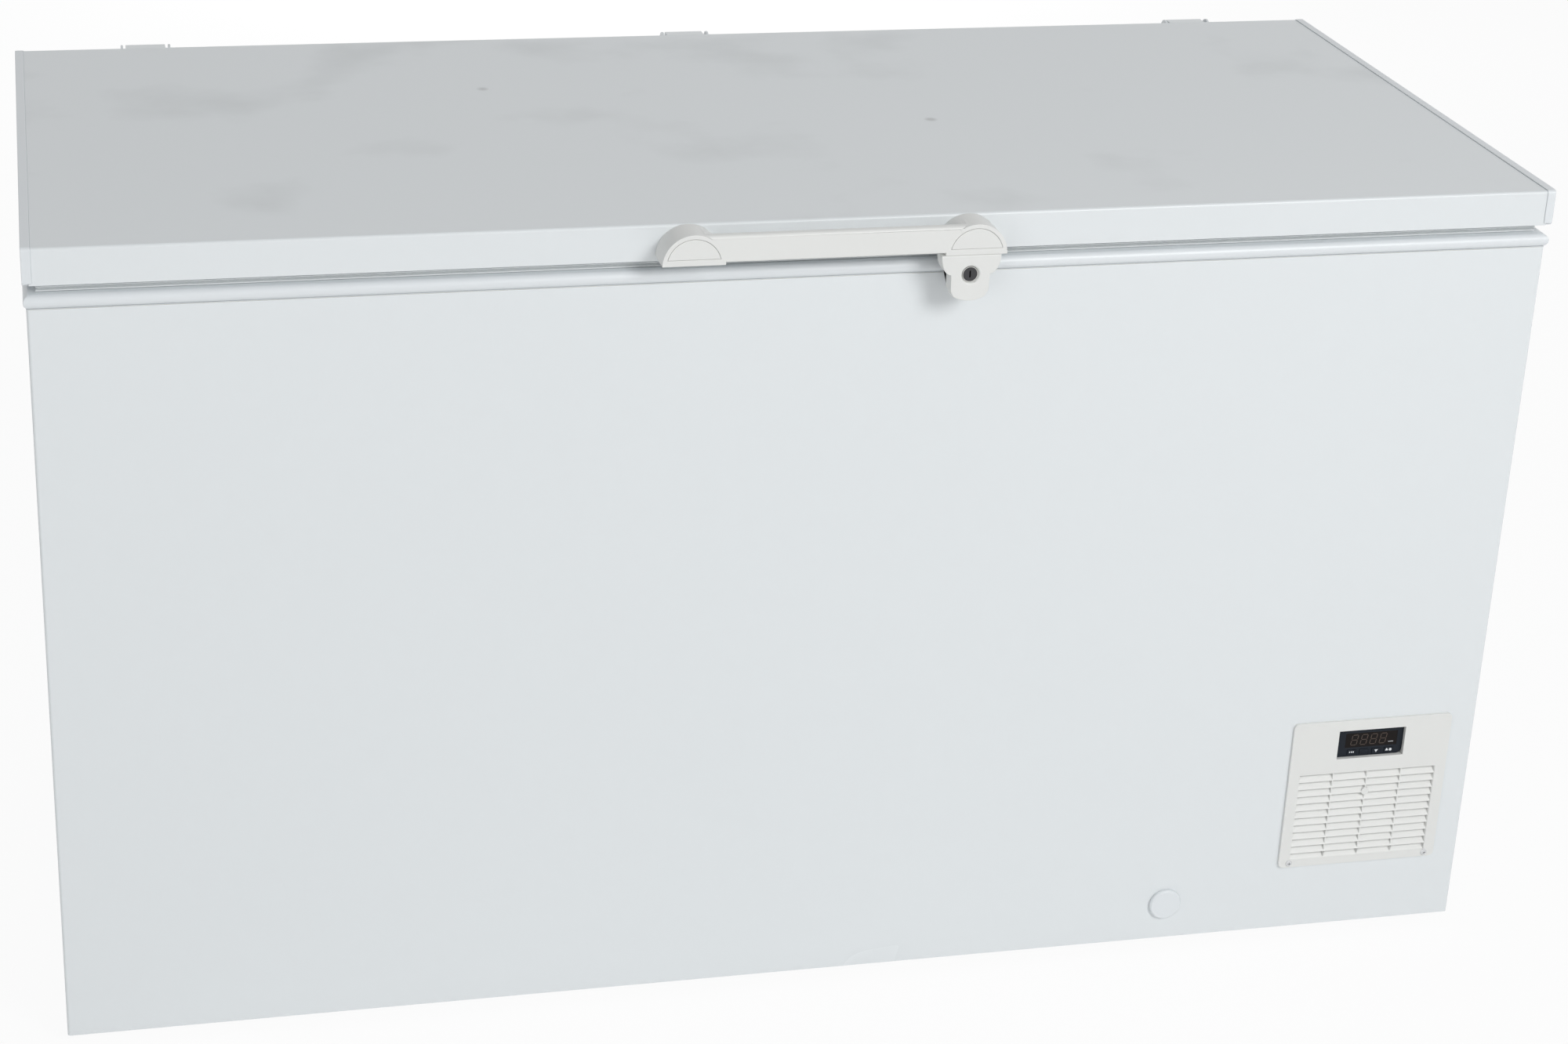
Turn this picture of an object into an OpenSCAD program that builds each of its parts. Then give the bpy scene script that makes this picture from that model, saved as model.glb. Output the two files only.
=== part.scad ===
// Chest freezer with an insulated cabinet, a sprung top-hung lid, and a
// compressor bay behind a louvred grille at its right-hand end.
// +X is to the right, +Y to the rear, +Z up. The origin lies on the floor
// under the middle of the whole outline.

/* [Cabinet] */
// Width of the lid over its end caps
lid_w = 1500; // [1200:10:1800]
// Depth of the lid from its front face to its rear face
lid_d = 660; // [580:10:800]
// Height of the sheet-metal cabinet between its feet and its rim
body_h = 777; // [640:1:930]
// Height of the glide feet
foot_h = 12; // [8:1:25]
// Insulated wall, from the rim's outer face to the tub
wall_t = 65; // [58:1:80]
// Insulation under the tub, with the base sheet
floor_t = 65; // [58:1:80]
// Thickness of the painted sheet steel
sheet_t = 0.8; // [0.6:0.1:1.2]
// Set-back of the cabinet's sheet behind the rim
body_inset = 2.6; // [2:0.1:5]
// Thickness of the tub's sheet
liner_t = 1; // [0.6:0.1:1.5]

/* [Rim and seal] */
// Height of the rim above the cabinet's sheet
rim_h = 14; // [12:1:20]
// Gap that the gasket fills, rim to lid
seal_gap = 10; // [8:0.5:14]
// Width of the ledge inside the rim that carries the basket
ledge_w = 12; // [10:1:16]
// Depth of the ledge below the rim's top
ledge_drop = 20; // [18:1:26]

/* [Lid] */
// Height of the lid's sheet-metal shell
lid_h = 36; // [34:1:50]
// Rise of the end caps above the lid's sheet
cap_rise = 1; // [0.5:0.1:2]
// Width of the end caps
cap_w = 6; // [4:0.5:10]
// Recess of the lid's inner panel behind the lid's outer face
flange_inset = 10; // [8:0.5:12]

/* [Handle and lock] */
// Distance of the handle's brackets from the middle
bracket_x = 137.4; // [110:0.2:200]
// How far the handle stands out from the lid
handle_out = 34; // [30:0.5:45]
// Radius of the domed brackets
dome_r = 30.5; // [27:0.5:31]
// Thickness of the handle's bar, front to back
bar_t = 11; // [8:0.5:14]
// How far the lock housing stands out from the lid
lock_out = 35; // [35:0.5:46]
// Thickness of the lock housing, front to back
lock_t = 17; // [15:0.5:17]
// Radius of the lock cylinder
lock_r = 8; // [7:0.5:8]

/* [Hinges] */
// Distance of the outer hinges from the lid's ends
hinge_end = 141; // [90:1:250]
// Width of a hinge between its ears
hinge_w = 49; // [40:1:60]
// Distance of the hinge pin behind the lid
pivot_back = 14; // [14:0.5:18]
// Depth of the hinge pin below the lid's top
pivot_drop = 12; // [12:0.5:15]
// Radius of the hinge pin
pin_r = 4; // [3:0.25:4]

/* [Compressor bay] */
// Width of the bay at the right-hand end
bay_w = 225; // [218:1:260]
// Height of the bay over the base
bay_h = 275; // [270:1:310]
// Insulation between the bay and the tub
bay_wall_t = 50; // [45:1:70]
// Radius of the compressor's shell
comp_r = 72; // [60:1:76]
// Height of the compressor's shell
comp_h = 160; // [140:1:180]
// Radius of the fan
fan_r = 70; // [55:1:74]

/* [Front grille] */
// Width of the grille
grille_w = 180; // [176:1:190]
// Height of the grille
grille_h = 175; // [172:1:185]
// Distance of the grille's middle from the cabinet's right-hand side
grille_side = 121; // [108:1:125]
// Height of the grille's lower edge over the base
grille_up = 76; // [60:1:85]
// Number of louvres
louvres = 12; // [8:1:12]
// Width of the controller's face
ctrl_w = 75.4; // [72:0.2:78]
// Height of the controller's face
ctrl_h = 33; // [30:0.5:34]

/* [Drain] */
// Distance of the drain from the lid's right-hand end
drain_side = 337; // [325:1:400]
// Height of the drain spout over the base
drain_up = 42.7; // [38:0.1:44]

/* [Basket] */
// Length of the wire basket along the freezer
basket_l = 300; // [200:10:400]
// Height of the wire basket
basket_h = 240; // [160:10:260]

/* [Hidden] */
$fn = 48;

// Clearances: of a fixed fit, of a running fit and of pieces that lie close
fit = 0.05;
run = 0.06;
near = 0.3;
// Overshoot of a cut past the face that it opens
over = 1;

// Levels
z_body = foot_h;
z_top = z_body + body_h;
z_rim = z_top + rim_h;
z_ledge = z_rim - ledge_drop;
z_lid = z_rim + seal_gap;
z_skin = z_lid + lid_h;
z_floor = z_body + floor_t;
z_bay = z_body + bay_h;
z_step = z_bay + bay_wall_t;

// Plan
half_w = lid_w / 2;
hinge_out = pivot_back + 11;
total_d = lock_out + lid_d + hinge_out;
y_front = -total_d / 2 + lock_out;
y_rear = y_front + lid_d;
x_body = half_w - body_inset;
y_body0 = y_front + body_inset;
y_body1 = y_rear - body_inset;
x_tub = half_w - wall_t;
y_tub0 = y_front + wall_t;
y_tub1 = y_rear - wall_t;
x_bay = x_body - bay_w;
x_step = x_bay - bay_wall_t;
bay_cx = (x_bay + x_body) / 2;
bend_r = 3;

// Rim
rim_wall = 3;
rim_flat = wall_t - ledge_w;
ledge_t = 3;

// Lid
skin_lip = 14;
liner_flange = 3;
pan_inset = wall_t - 3;
pan_clear = 10;
z_flange = z_lid - liner_flange;
z_pan = z_rim - pan_clear;
gasket_inset = flange_inset + 1.5;
gasket_w = 18;
cap_lip = 3;
cap_corner = 4;

// Handle and lock
handle_up = 5.5;
z_handle = z_lid + handle_up;
bar_lift = 2.5;
bar_h = min(26.5, dome_r - bar_lift - 1);
cover_r = dome_r - 4.5;
cover_chord = 6.3;
cover_t = 1.6;
y_handle = y_front - handle_out;
y_lock = y_front - lock_out;
y_lock_back = y_lock + lock_t;
lock_x = bracket_x - 5;
lock_drop = 19.5;
z_lock = z_handle - lock_drop;
shoulder_w = 29.7;
tongue_w = 19.5;
tongue_h = 42;
tongue_bulge = 4;
cam_l = 22;
cam_w = 7;
cam_t = 2;
lock_tail = 4;
spindle_r = 3;
y_cam = y_lock_back + lock_tail;

// Hinges
hinge_xs = [-half_w + hinge_end, 0, half_w - hinge_end];
pivot_y = y_rear + pivot_back;
pivot_z = z_skin - pivot_drop;
ear_t = 2.5;
ear_r = 11;
ear_drop = 190;
base_t = 2;
leaf_t = 2;
leaf_gap = 3;
leaf_top = 7.5;
spring_turns = 8;
spring_wire = 1.1;
spring_r = pin_r + 2.2;

// Compressor bay
tray_t = 1.5;
z_tray = z_body + tray_t;
grommet_h = 12;
comp_y = y_front + 330;
comp_plate_t = 3;
comp_wall = 3;
comp_bolt_x = 48;
comp_bolt_y = 84;
bolt_r = 4;
z_plate = z_tray + grommet_h;
z_shell = z_plate + comp_plate_t;
z_seam = z_shell + comp_h * 0.5;
seam_lap = 8;
cond_y = y_front + 40;
cond_gap = 30;
cond_half = 85;
cond_lead = 10;
cond_pitch = 24;
z_cond = z_body + 36;
cond_r = 3.2;
cond_wire_r = 0.8;
shroud_y = y_front + 92;
shroud_t = 1.5;
shroud_half = 105;
shroud_h = 250;
z_fan = z_body + 138;
fan_motor_r = 24;
fan_motor_l = 45;
motor_y = shroud_y + 22;
fan_shaft_r = 3;
fan_blades = 5;
pipe_r = 3;
capillary_r = 1.5;
drier_r = 9;
drier_l = 76;
drier_x = x_bay + 24;
drier_y = y_front + 190;
z_drier = z_body + 70;

// Evaporator, wound round the tub in level loops joined by risers at the rear
evap_r = 4;
evap_pitch = 85;
evap_first = z_floor + 60;
evap_loops = floor((z_ledge - 55 - evap_first) / evap_pitch) + 1;
evap_seat = liner_t + evap_r + 0.2;
evap_turn = 60;
evap_bend = 5;
line_back = 14;
y_line = y_tub1 + evap_seat + line_back;
z_feed = z_body + 170;
z_return = z_body + 220;
line_end = 30;

// Grille and controller
grille_cx = x_body + body_inset - grille_side;
z_grille = z_body + grille_up;
grille_t = 3;
grille_lap = 7;
grille_r = 5.5;
y_grille = y_body0 - grille_t;
grille_skirt = 14;
skirt_t = 1.5;
louvre_w = 156;
louvre_pitch = 8.7;
louvre_up = 16;
louvre_depth = 6;
slat_t = 1.8;
slit_h = 1.4;
rib_t = 1.2;
boss_r = 4.3;
boss_up = 87.5;
grille_screw_x = grille_w / 2 - 11.5;
grille_screw_up = 5;
opening_up = 8;
ctrl_up = 129.5;
z_ctrl = z_grille + ctrl_up;
cond_rows = 2 * floor((z_ctrl - 12 - z_cond) / cond_pitch / 2) + 1;
ctrl_recess = 4;
y_ctrl = y_grille + ctrl_recess;
ctrl_depth = 58;
ctrl_wall = 1.8;
ctrl_front = 2.4;
ctrl_corner = 6;
display_x0 = -28;
display_w = 59;
display_up = 10.5;
display_h = 17;
button_w = 9.6;
button_h = 5.8;
button_pitch = 14.1;
button_first = -20;
button_up_z = 4.8;
button_proud = 0.6;
button_travel = 0.8;
button_flange = 1;
board_back = 5;
board_t = 1.6;

// Drain
drain_x = half_w - drain_side;
z_drain = z_body + drain_up;
drain_y = y_tub0 + 60;
drain_r = 11;
drain_bore = 9;
floor_bore = 8.5;
drain_cap_r = 17.5;
drain_cap_out = 4.8;
drain_flange = 1.5;

// Rear of the bay
rear_open_w = 170;
rear_open_h = 220;
rear_open_up = 24;
rear_lap = 12;
rear_cover_t = 1;
gland_x = bay_cx - 50;
gland_up = 50;
gland_r = 8;

// Screws
screw_r = 1.8;
head_r = 3.6;
head_h = 1.6;
screw_l = 14;
strike_top_t = 2;
strike_out = 16;
strike_w0 = 10;
strike_w1 = 20;
strike_drop = 33;
strike_plate_h = 16;

// Basket
wire_r = 1.5;
frame_r = 3;
basket_gap = 8;
basket_hook = 8;
basket_nx = 5;
basket_ny = 8;
basket_x = x_tub - 10 - basket_l / 2;
z_basket = z_ledge + frame_r + fit;

// Lists for the screws: [x, y of the seat under the head, z]
grille_screws = [for (s = [-1, 1]) [grille_cx + s * grille_screw_x, y_grille, z_grille + grille_screw_up]];
strike_screws = [for (s = [0, 1])
    [lock_x - 4 + 18 * s, y_front - base_t, z_rim - strike_drop + strike_plate_h / 2]];
cover_screws = [for (i = [-1, 1], j = [0, 1]) [
    bay_cx + i * (rear_open_w / 2 + rear_lap / 2),
    y_body1 + rear_cover_t,
    z_body + rear_open_up - rear_lap / 2 + j * (rear_open_h + rear_lap)
]];
hinge_screws = [for (x = hinge_xs, i = [-1, 1], j = [0, 1]) [
    x + i * 14, y_body1 + base_t, z_top - 40 - j * 90
]];
leaf_screws = [for (x = hinge_xs, i = [-1, 1]) [x + i * 10, y_rear + leaf_t, z_lid + 8]];
handle_screws = [for (s = [-1, 1]) [s * bracket_x, y_handle + 20, z_handle + 14]];

// ---------- shapes that several pieces use ----------

function arc(c, r, a0, a1, n) =
    [for (i = [0:n]) c + r * [cos(a0 + (a1 - a0) * i / n), sin(a0 + (a1 - a0) * i / n)]];
function reversed(p) = [for (i = [len(p) - 1:-1:0]) p[i]];
function unit(v) = v / norm(v);

// Box between two corners
module block(a, b) {
    translate(a) cube(b - a);
}

// Outline in Y and Z, drawn out along X
module along_x(x0, x1) {
    translate([x0, 0, 0]) rotate([90, 0, 90]) linear_extrude(x1 - x0) children();
}

// Outline in X and Z, drawn out along Y
module along_y(y0, y1) {
    translate([0, y1, 0]) rotate([90, 0, 0]) linear_extrude(y1 - y0) children();
}

module rod_x(x0, x1, y, z, r) {
    translate([x0, y, z]) rotate([0, 90, 0]) cylinder(r = r, h = x1 - x0);
}

module rod_y(y0, y1, x, z, r) {
    translate([x, y1, z]) rotate([90, 0, 0]) cylinder(r = r, h = y1 - y0);
}

module rod_z(z0, z1, x, y, r) {
    translate([x, y, z0]) cylinder(r = r, h = z1 - z0);
}

// Rectangular ring between two insets from the lid's outline
module ring(u0, u1, z0, z1) {
    difference() {
        block([-half_w + u0, y_front + u0, z0], [half_w - u0, y_rear - u0, z1]);
        block([-half_w + u1, y_front + u1, z0 - over], [half_w - u1, y_rear - u1, z1 + over]);
    }
}

// Profile of a slab whose two edges are half round
function bull_profile(a0, a1, z0, z1) =
    let (r = (z1 - z0) / 2, z = (z0 + z1) / 2)
    concat(arc([a1 - r, z], r, -90, 90, 8), arc([a0 + r, z], r, 90, 270, 8));

// Slab at an inset from the lid's outline, with half-round edges all round
module bull_slab(u, z0, z1) {
    intersection() {
        along_x(-half_w + u, half_w - u) polygon(bull_profile(y_front + u, y_rear - u, z0, z1));
        along_y(y_front + u, y_rear - u) polygon(bull_profile(-half_w + u, half_w - u, z0, z1));
    }
}

// Screw along Y: its head's seat is at p and it points to the rear, or to the front
module screw(p, length, rearward) {
    s = rearward ? 1 : -1;
    translate(p) rotate([-90 * s, 0, 0]) {
        cylinder(r = screw_r, h = length);
        translate([0, 0, -head_h]) cylinder(r = head_r, h = head_h);
    }
}

// Holes for screws along Y, cut between two planes
module screw_holes(points, y0, y1) {
    for (p = points) rod_y(y0, y1, p[0], p[2], screw_r + fit);
}

// Rounds each inner corner of a path by a short curve of the given reach
function rounded(p, reach) = concat(
    [p[0]],
    [for (i = [1:len(p) - 2])
        let (
            a = p[i - 1] - p[i],
            b = p[i + 1] - p[i],
            d = min(reach, norm(a) * 0.49, norm(b) * 0.49),
            s = p[i] + unit(a) * d,
            e = p[i] + unit(b) * d
        )
        for (t = [0:0.25:1]) (1 - t) * (1 - t) * s + 2 * t * (1 - t) * p[i] + t * t * e],
    [p[len(p) - 1]]
);

function heading(p, i) = unit(
    (i == 0 ? [0, 0, 0] : unit(p[i] - p[i - 1])) +
    (i == len(p) - 1 ? [0, 0, 0] : unit(p[i + 1] - p[i]))
);
function sides_along(p, i, s) = i == len(p) ? [] :
    let (t = heading(p, i), n = unit(s - (s * t) * t)) concat([n], sides_along(p, i + 1, n));

// Round tube or wire of n flats along a path
module sweep(p, r, n) {
    t0 = heading(p, 0);
    sides = sides_along(p, 0, unit(cross(t0, abs(t0[2]) > 0.9 ? [1, 0, 0] : [0, 0, 1])));
    last = len(p) - 1;
    points = [for (i = [0:last], k = [0:n - 1])
        let (a = sides[i], b = cross(heading(p, i), a), w = 360 * (k + 0.5) / n)
        p[i] + r * (cos(w) * a + sin(w) * b)];
    polyhedron(points, concat(
        [[for (k = [0:n - 1]) k]],
        [[for (k = [n - 1:-1:0]) last * n + k]],
        [for (i = [0:last - 1], k = [0:n - 1])
            [i * n + k, (i + 1) * n + k, (i + 1) * n + (k + 1) % n, i * n + (k + 1) % n]]
    ));
}

// ---------- cabinet ----------

// Plan of the wrapper's sheet from its left rear edge round to its right rear edge
function wrapper_line(o) = concat(
    [[-x_body + o, y_body1]],
    arc([-x_body + bend_r, y_body0 + bend_r], bend_r - o, 180, 270, 6),
    arc([x_body - bend_r, y_body0 + bend_r], bend_r - o, 270, 360, 6),
    [[x_body - o, y_body1]]
);

// Everything inside the wrapper, between two levels
module inside_wrapper(z0, z1) {
    difference() {
        translate([0, 0, z0]) linear_extrude(z1 - z0) polygon(wrapper_line(sheet_t));
        block([-half_w, y_body1 - sheet_t, z0 - over], [half_w, y_rear, z1 + over]);
    }
}

module bay_space(o) {
    block([x_bay - o, y_front, z_body - over], [half_w, y_rear, z_bay + o]);
}

module grille_opening() {
    block(
        [grille_cx - grille_w / 2 + grille_lap, y_body0 - over, z_grille + opening_up],
        [grille_cx + grille_w / 2 - grille_lap, y_body0 + sheet_t + over, z_grille + grille_h - grille_lap]
    );
}

module outer_wrapper() {
    color([0.88, 0.90, 0.91])
    difference() {
        translate([0, 0, z_body]) linear_extrude(body_h)
            polygon(concat(wrapper_line(0), reversed(wrapper_line(sheet_t))));
        grille_opening();
        rod_y(y_body0 - over, y_body0 + 2, drain_x, z_drain, drain_r + fit);
        screw_holes(grille_screws, y_body0 - over, y_body0 + 2);
        screw_holes(strike_screws, y_body0 - over, y_body0 + 2);
    }
}

module rear_panel() {
    color([0.86, 0.87, 0.88])
    difference() {
        block([-x_body + sheet_t, y_body1 - sheet_t, z_body], [x_body - sheet_t, y_body1, z_top]);
        block(
            [bay_cx - rear_open_w / 2, y_rear - 20, z_body + rear_open_up],
            [bay_cx + rear_open_w / 2, y_rear + over, z_body + rear_open_up + rear_open_h]
        );
        screw_holes(cover_screws, y_body1 - 3, y_body1 + over);
        screw_holes(hinge_screws, y_body1 - 3, y_body1 + over);
    }
}

module base_pan() {
    color([0.72, 0.74, 0.75])
    difference() {
        inside_wrapper(z_body, z_body + sheet_t);
        bay_space(sheet_t);
    }
}

module bay_bulkhead() {
    color([0.70, 0.72, 0.73])
    difference() {
        intersection() {
            inside_wrapper(z_body, z_bay + sheet_t);
            bay_space(sheet_t);
        }
        bay_space(0);
        for (z = [z_feed, z_return]) rod_x(x_bay - 3, x_bay + over, y_line, z, evap_r + near);
    }
}

// Side view of the tub, grown outward by o
module tub_space(o, top) {
    difference() {
        block([-x_tub - o, y_tub0 - o, z_floor - o], [x_tub + o, y_tub1 + o, top]);
        block([x_step + o, y_front, z_body], [half_w, y_rear, z_step - o]);
    }
}

module inner_liner() {
    color([0.93, 0.94, 0.94])
    difference() {
        tub_space(liner_t, z_ledge - ledge_t);
        tub_space(0, z_ledge);
        rod_z(z_floor - 3, z_floor + over, drain_x, drain_y, drain_r + fit);
    }
}

function evap_z(i) = evap_first + i * evap_pitch;
function evap_right(i) = (evap_z(i) < z_step ? x_step : x_tub) + evap_seat;
function evap_loop(i) =
    let (
        z = evap_z(i),
        x0 = -x_tub - evap_seat,
        x1 = evap_right(i),
        y0 = y_tub0 - evap_seat,
        y1 = y_tub1 + evap_seat,
        p = [
            [-evap_turn, y1, z], [x0, y1, z], [x0, y0, z],
            [x1, y0, z], [x1, y1, z], [evap_turn, y1, z]
        ]
    ) i % 2 == 0 ? p : reversed(p);
function evap_route() =
    let (last = evap_loops - 1, side = last % 2 == 0 ? evap_turn : -evap_turn)
    concat(
        [
            [x_bay + line_end, y_line, z_feed],
            [-evap_turn, y_line, z_feed],
            [-evap_turn, y_line, evap_z(0)]
        ],
        [for (i = [0:last]) each evap_loop(i)],
        [
            [side, y_line, evap_z(last)],
            [side, y_line, z_return],
            [x_bay + line_end, y_line, z_return]
        ]
    );

module evaporator_tube() {
    color([0.80, 0.81, 0.82]) sweep(rounded(evap_route(), evap_bend), evap_r, 8);
}

// Square groove in the foam for a straight run of tube
module groove(a, b) {
    g = (evap_r + near) * [1, 1, 1];
    low = [for (k = [0:2]) min(a[k], b[k])];
    high = [for (k = [0:2]) max(a[k], b[k])];
    block(low - g, high + g);
}

module cabinet_foam() {
    route = evap_route();
    color([0.93, 0.86, 0.60])
    difference() {
        union() {
            inside_wrapper(z_body + sheet_t, z_top);
            ring(rim_wall + body_inset, rim_flat - rim_wall, z_top, z_rim - rim_wall);
        }
        block(
            [-half_w + rim_flat - rim_wall, y_front + rim_flat - rim_wall, z_ledge - ledge_t],
            [half_w - rim_flat + rim_wall, y_rear - rim_flat + rim_wall, z_rim]
        );
        tub_space(liner_t, z_rim);
        bay_space(sheet_t);
        for (i = [0:len(route) - 2]) groove(route[i], route[i + 1]);
        rod_y(y_body0, drain_y, drain_x, z_drain, drain_r + fit);
        block(
            [drain_x - drain_r - 1 - fit, drain_y - drain_r - 1 - fit, z_drain - drain_r - 1 - fit],
            [drain_x + drain_r + 1 + fit, drain_y + drain_r + 1 + fit, z_floor]
        );
        screw_holes(hinge_screws, y_body1 - screw_l - 2, y_body1);
        screw_holes(strike_screws, y_body0 - over, y_body0 + screw_l);
    }
}

module top_rim() {
    color([0.90, 0.92, 0.94])
    difference() {
        union() {
            bull_slab(0, z_top, z_rim);
            block(
                [-half_w + rim_flat - rim_wall, y_front + rim_flat - rim_wall, z_ledge - ledge_t],
                [half_w - rim_flat + rim_wall, y_rear - rim_flat + rim_wall, z_rim - over]
            );
        }
        ring(rim_wall + body_inset, rim_flat - rim_wall, z_top - over, z_rim - rim_wall);
        block(
            [-half_w + rim_flat, y_front + rim_flat, z_ledge],
            [half_w - rim_flat, y_rear - rim_flat, z_rim + over]
        );
        block([-x_tub, y_tub0, z_ledge - 10], [x_tub, y_tub1, z_rim]);
    }
}

module glide_feet() {
    color([0.20, 0.20, 0.21])
    for (x = [-half_w + 70, half_w - 70], y = [y_front + 60, y_rear - 60])
        translate([x, y, 0]) rotate_extrude()
            polygon([[0, 0], [17, 0], [20, 3], [20, foot_h - 2], [18, foot_h], [0, foot_h]]);
}

// ---------- compressor bay ----------

module compressor_tray() {
    flange_h = 10;
    color([0.66, 0.68, 0.69])
    difference() {
        intersection() {
            inside_wrapper(z_body, z_tray + flange_h);
            bay_space(0);
        }
        block(
            [x_bay - over, y_body0 + sheet_t + tray_t, z_tray],
            [half_w, y_body1 - sheet_t - tray_t, z_bay]
        );
        block([x_bay - over, y_body0, z_tray], [half_w, y_body0 + sheet_t + 20, z_tray + flange_h + over]);
        at_bolts() rod_z(z_body - over, z_tray + over, 0, 0, bolt_r + fit);
    }
}

// Places its children at the compressor's four fixings
module at_bolts() {
    for (i = [-1, 1], j = [-1, 1])
        translate([bay_cx + i * comp_bolt_x, comp_y + j * comp_bolt_y, 0]) children();
}

// Half section of a domed cup, its closed end at z0 and its mouth at z1
function cup(r, wall, round_r, z0, z1) =
    let (s = z1 > z0 ? 1 : -1)
    concat(
        [[0, z0]],
        [for (p = arc([r - round_r, 0], round_r, 90, 0, 8)) [p[0], z0 + s * (round_r - p[1])]],
        [[r, z1], [r - wall, z1]],
        [for (p = arc([r - round_r, 0], round_r - wall, 0, 90, 8)) [p[0], z0 + s * (round_r - p[1])]],
        [[0, z0 + s * wall]]
    );

module compressor_lower_shell() {
    color([0.10, 0.10, 0.11])
    difference() {
        union() {
            translate([bay_cx, comp_y, 0]) rotate_extrude()
                polygon(cup(comp_r, comp_wall, 22, z_shell, z_seam));
            block(
                [bay_cx - comp_bolt_x - 14, comp_y - comp_bolt_y - 14, z_plate],
                [bay_cx + comp_bolt_x + 14, comp_y + comp_bolt_y + 14, z_shell]
            );
        }
        at_bolts() rod_z(z_plate - over, z_shell + over, 0, 0, bolt_r + fit);
    }
}

module compressor_upper_shell() {
    color([0.12, 0.12, 0.13])
    translate([bay_cx, comp_y, 0]) rotate_extrude()
        polygon(cup(comp_r, comp_wall, 34, z_shell + comp_h, z_seam));
    color([0.12, 0.12, 0.13])
    translate([bay_cx, comp_y, z_seam - seam_lap]) difference() {
        cylinder(r = comp_r + comp_wall, h = seam_lap * 2);
        translate([0, 0, -over]) cylinder(r = comp_r, h = seam_lap * 2 + 2 * over);
    }
}

module compressor_pump() {
    stator_r = comp_r - 24;
    block_half = comp_r - 40;
    post_at = comp_r - 38;
    post_r = 5;
    z0 = z_shell + comp_wall;
    color([0.55, 0.45, 0.35])
    translate([bay_cx, comp_y, 0]) {
        rod_z(z0 + 20, z0 + 80, 0, 0, stator_r);
        block([-block_half, -block_half, z0 + 80], [block_half, block_half, z0 + 112]);
        for (a = [45:90:315])
            rotate(a) rod_z(z0, z0 + 20, post_at, 0, post_r);
    }
}

module compressor_grommets() {
    color([0.15, 0.15, 0.15])
    at_bolts() difference() {
        rod_z(z_tray, z_plate, 0, 0, 11);
        rod_z(z_tray - over, z_plate + over, 0, 0, bolt_r + fit);
    }
}

module compressor_bolts() {
    color([0.75, 0.75, 0.73])
    at_bolts() {
        rod_z(z_body, z_shell, 0, 0, bolt_r);
        translate([0, 0, z_shell]) cylinder(r = 7.5, h = 5.3, $fn = 6);
    }
}

module relay_cover() {
    color([0.14, 0.14, 0.15])
    difference() {
        block([bay_cx - 26, comp_y, z_shell + 14], [bay_cx + 26, comp_y + comp_r + 40, z_shell + 66]);
        rod_z(z_shell, z_shell + comp_h, bay_cx, comp_y, comp_r + fit);
        block(
            [bay_cx - 24, comp_y + comp_r + 2, z_shell + 16],
            [bay_cx + 24, comp_y + comp_r + 38, z_shell + 64]
        );
    }
}

function cond_row(i, y, up) =
    let (z = z_cond + (up ? i : cond_rows - 1 - i) * cond_pitch, s = (i % 2 == 0) == up ? 1 : -1)
    [[bay_cx - s * cond_half, y, z], [bay_cx + s * cond_half, y, z]];
cond_x = bay_cx - cond_half - cond_lead;
function cond_route() = concat(
    [[cond_x, cond_y, z_cond]],
    [for (i = [0:cond_rows - 1]) each cond_row(i, cond_y, true)],
    [for (i = [0:cond_rows - 1]) each cond_row(i, cond_y + cond_gap, false)],
    [
        [cond_x - 8, cond_y + cond_gap, z_cond],
        [cond_x - 8, drier_y, z_cond],
        [drier_x, drier_y, z_cond],
        [drier_x, drier_y, z_drier]
    ]
);

module condenser_tube() {
    color([0.16, 0.16, 0.17]) sweep(rounded(cond_route(), 11), cond_r, 8);
}

module condenser_wires() {
    rise = cond_r * cos(22.5) + cond_wire_r + fit;
    color([0.16, 0.16, 0.17])
    for (y = [cond_y, cond_y + cond_gap], s = [-1, 1], i = [-7:7])
        translate([bay_cx + i * 10, y + s * rise, z_cond - 6])
            cylinder(r = cond_wire_r, h = (cond_rows - 1) * cond_pitch + 12, $fn = 8);
}

module condenser_brackets() {
    x = cond_half + cond_r + 0.2;
    top = z_cond + (cond_rows - 1) * cond_pitch + 10;
    color([0.66, 0.68, 0.69])
    for (s = [-1, 1]) translate([bay_cx, 0, 0]) mirror([s < 0 ? 1 : 0, 0, 0]) difference() {
        union() {
            block([x, cond_y - 8, z_tray], [x + 1.5, cond_y + cond_gap + 8, top]);
            block([x, cond_y - 8, z_tray], [x + 14, cond_y + cond_gap + 8, z_tray + 1.5]);
        }
        for (y = [cond_y, cond_y + cond_gap]) rod_x(x - over, x + 3, y, z_cond, cond_r + near);
    }
}

module fan_shroud() {
    notch = 22;
    color([0.18, 0.18, 0.19])
    difference() {
        union() {
            block(
                [bay_cx - shroud_half, shroud_y, z_tray],
                [bay_cx + shroud_half, shroud_y + shroud_t, z_tray + shroud_h]
            );
            block(
                [bay_cx - shroud_half, shroud_y, z_tray],
                [bay_cx + shroud_half, shroud_y + 16, z_tray + shroud_t]
            );
            rod_y(shroud_y, shroud_y + 14, bay_cx, z_fan, fan_r + 7);
        }
        rod_y(shroud_y - over, shroud_y + 16, bay_cx, z_fan, fan_r + 5);
        block(
            [bay_cx - shroud_half - over, shroud_y - over, z_tray - over],
            [bay_cx - shroud_half + notch, shroud_y + 20, z_tray + 40]
        );
    }
}

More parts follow.
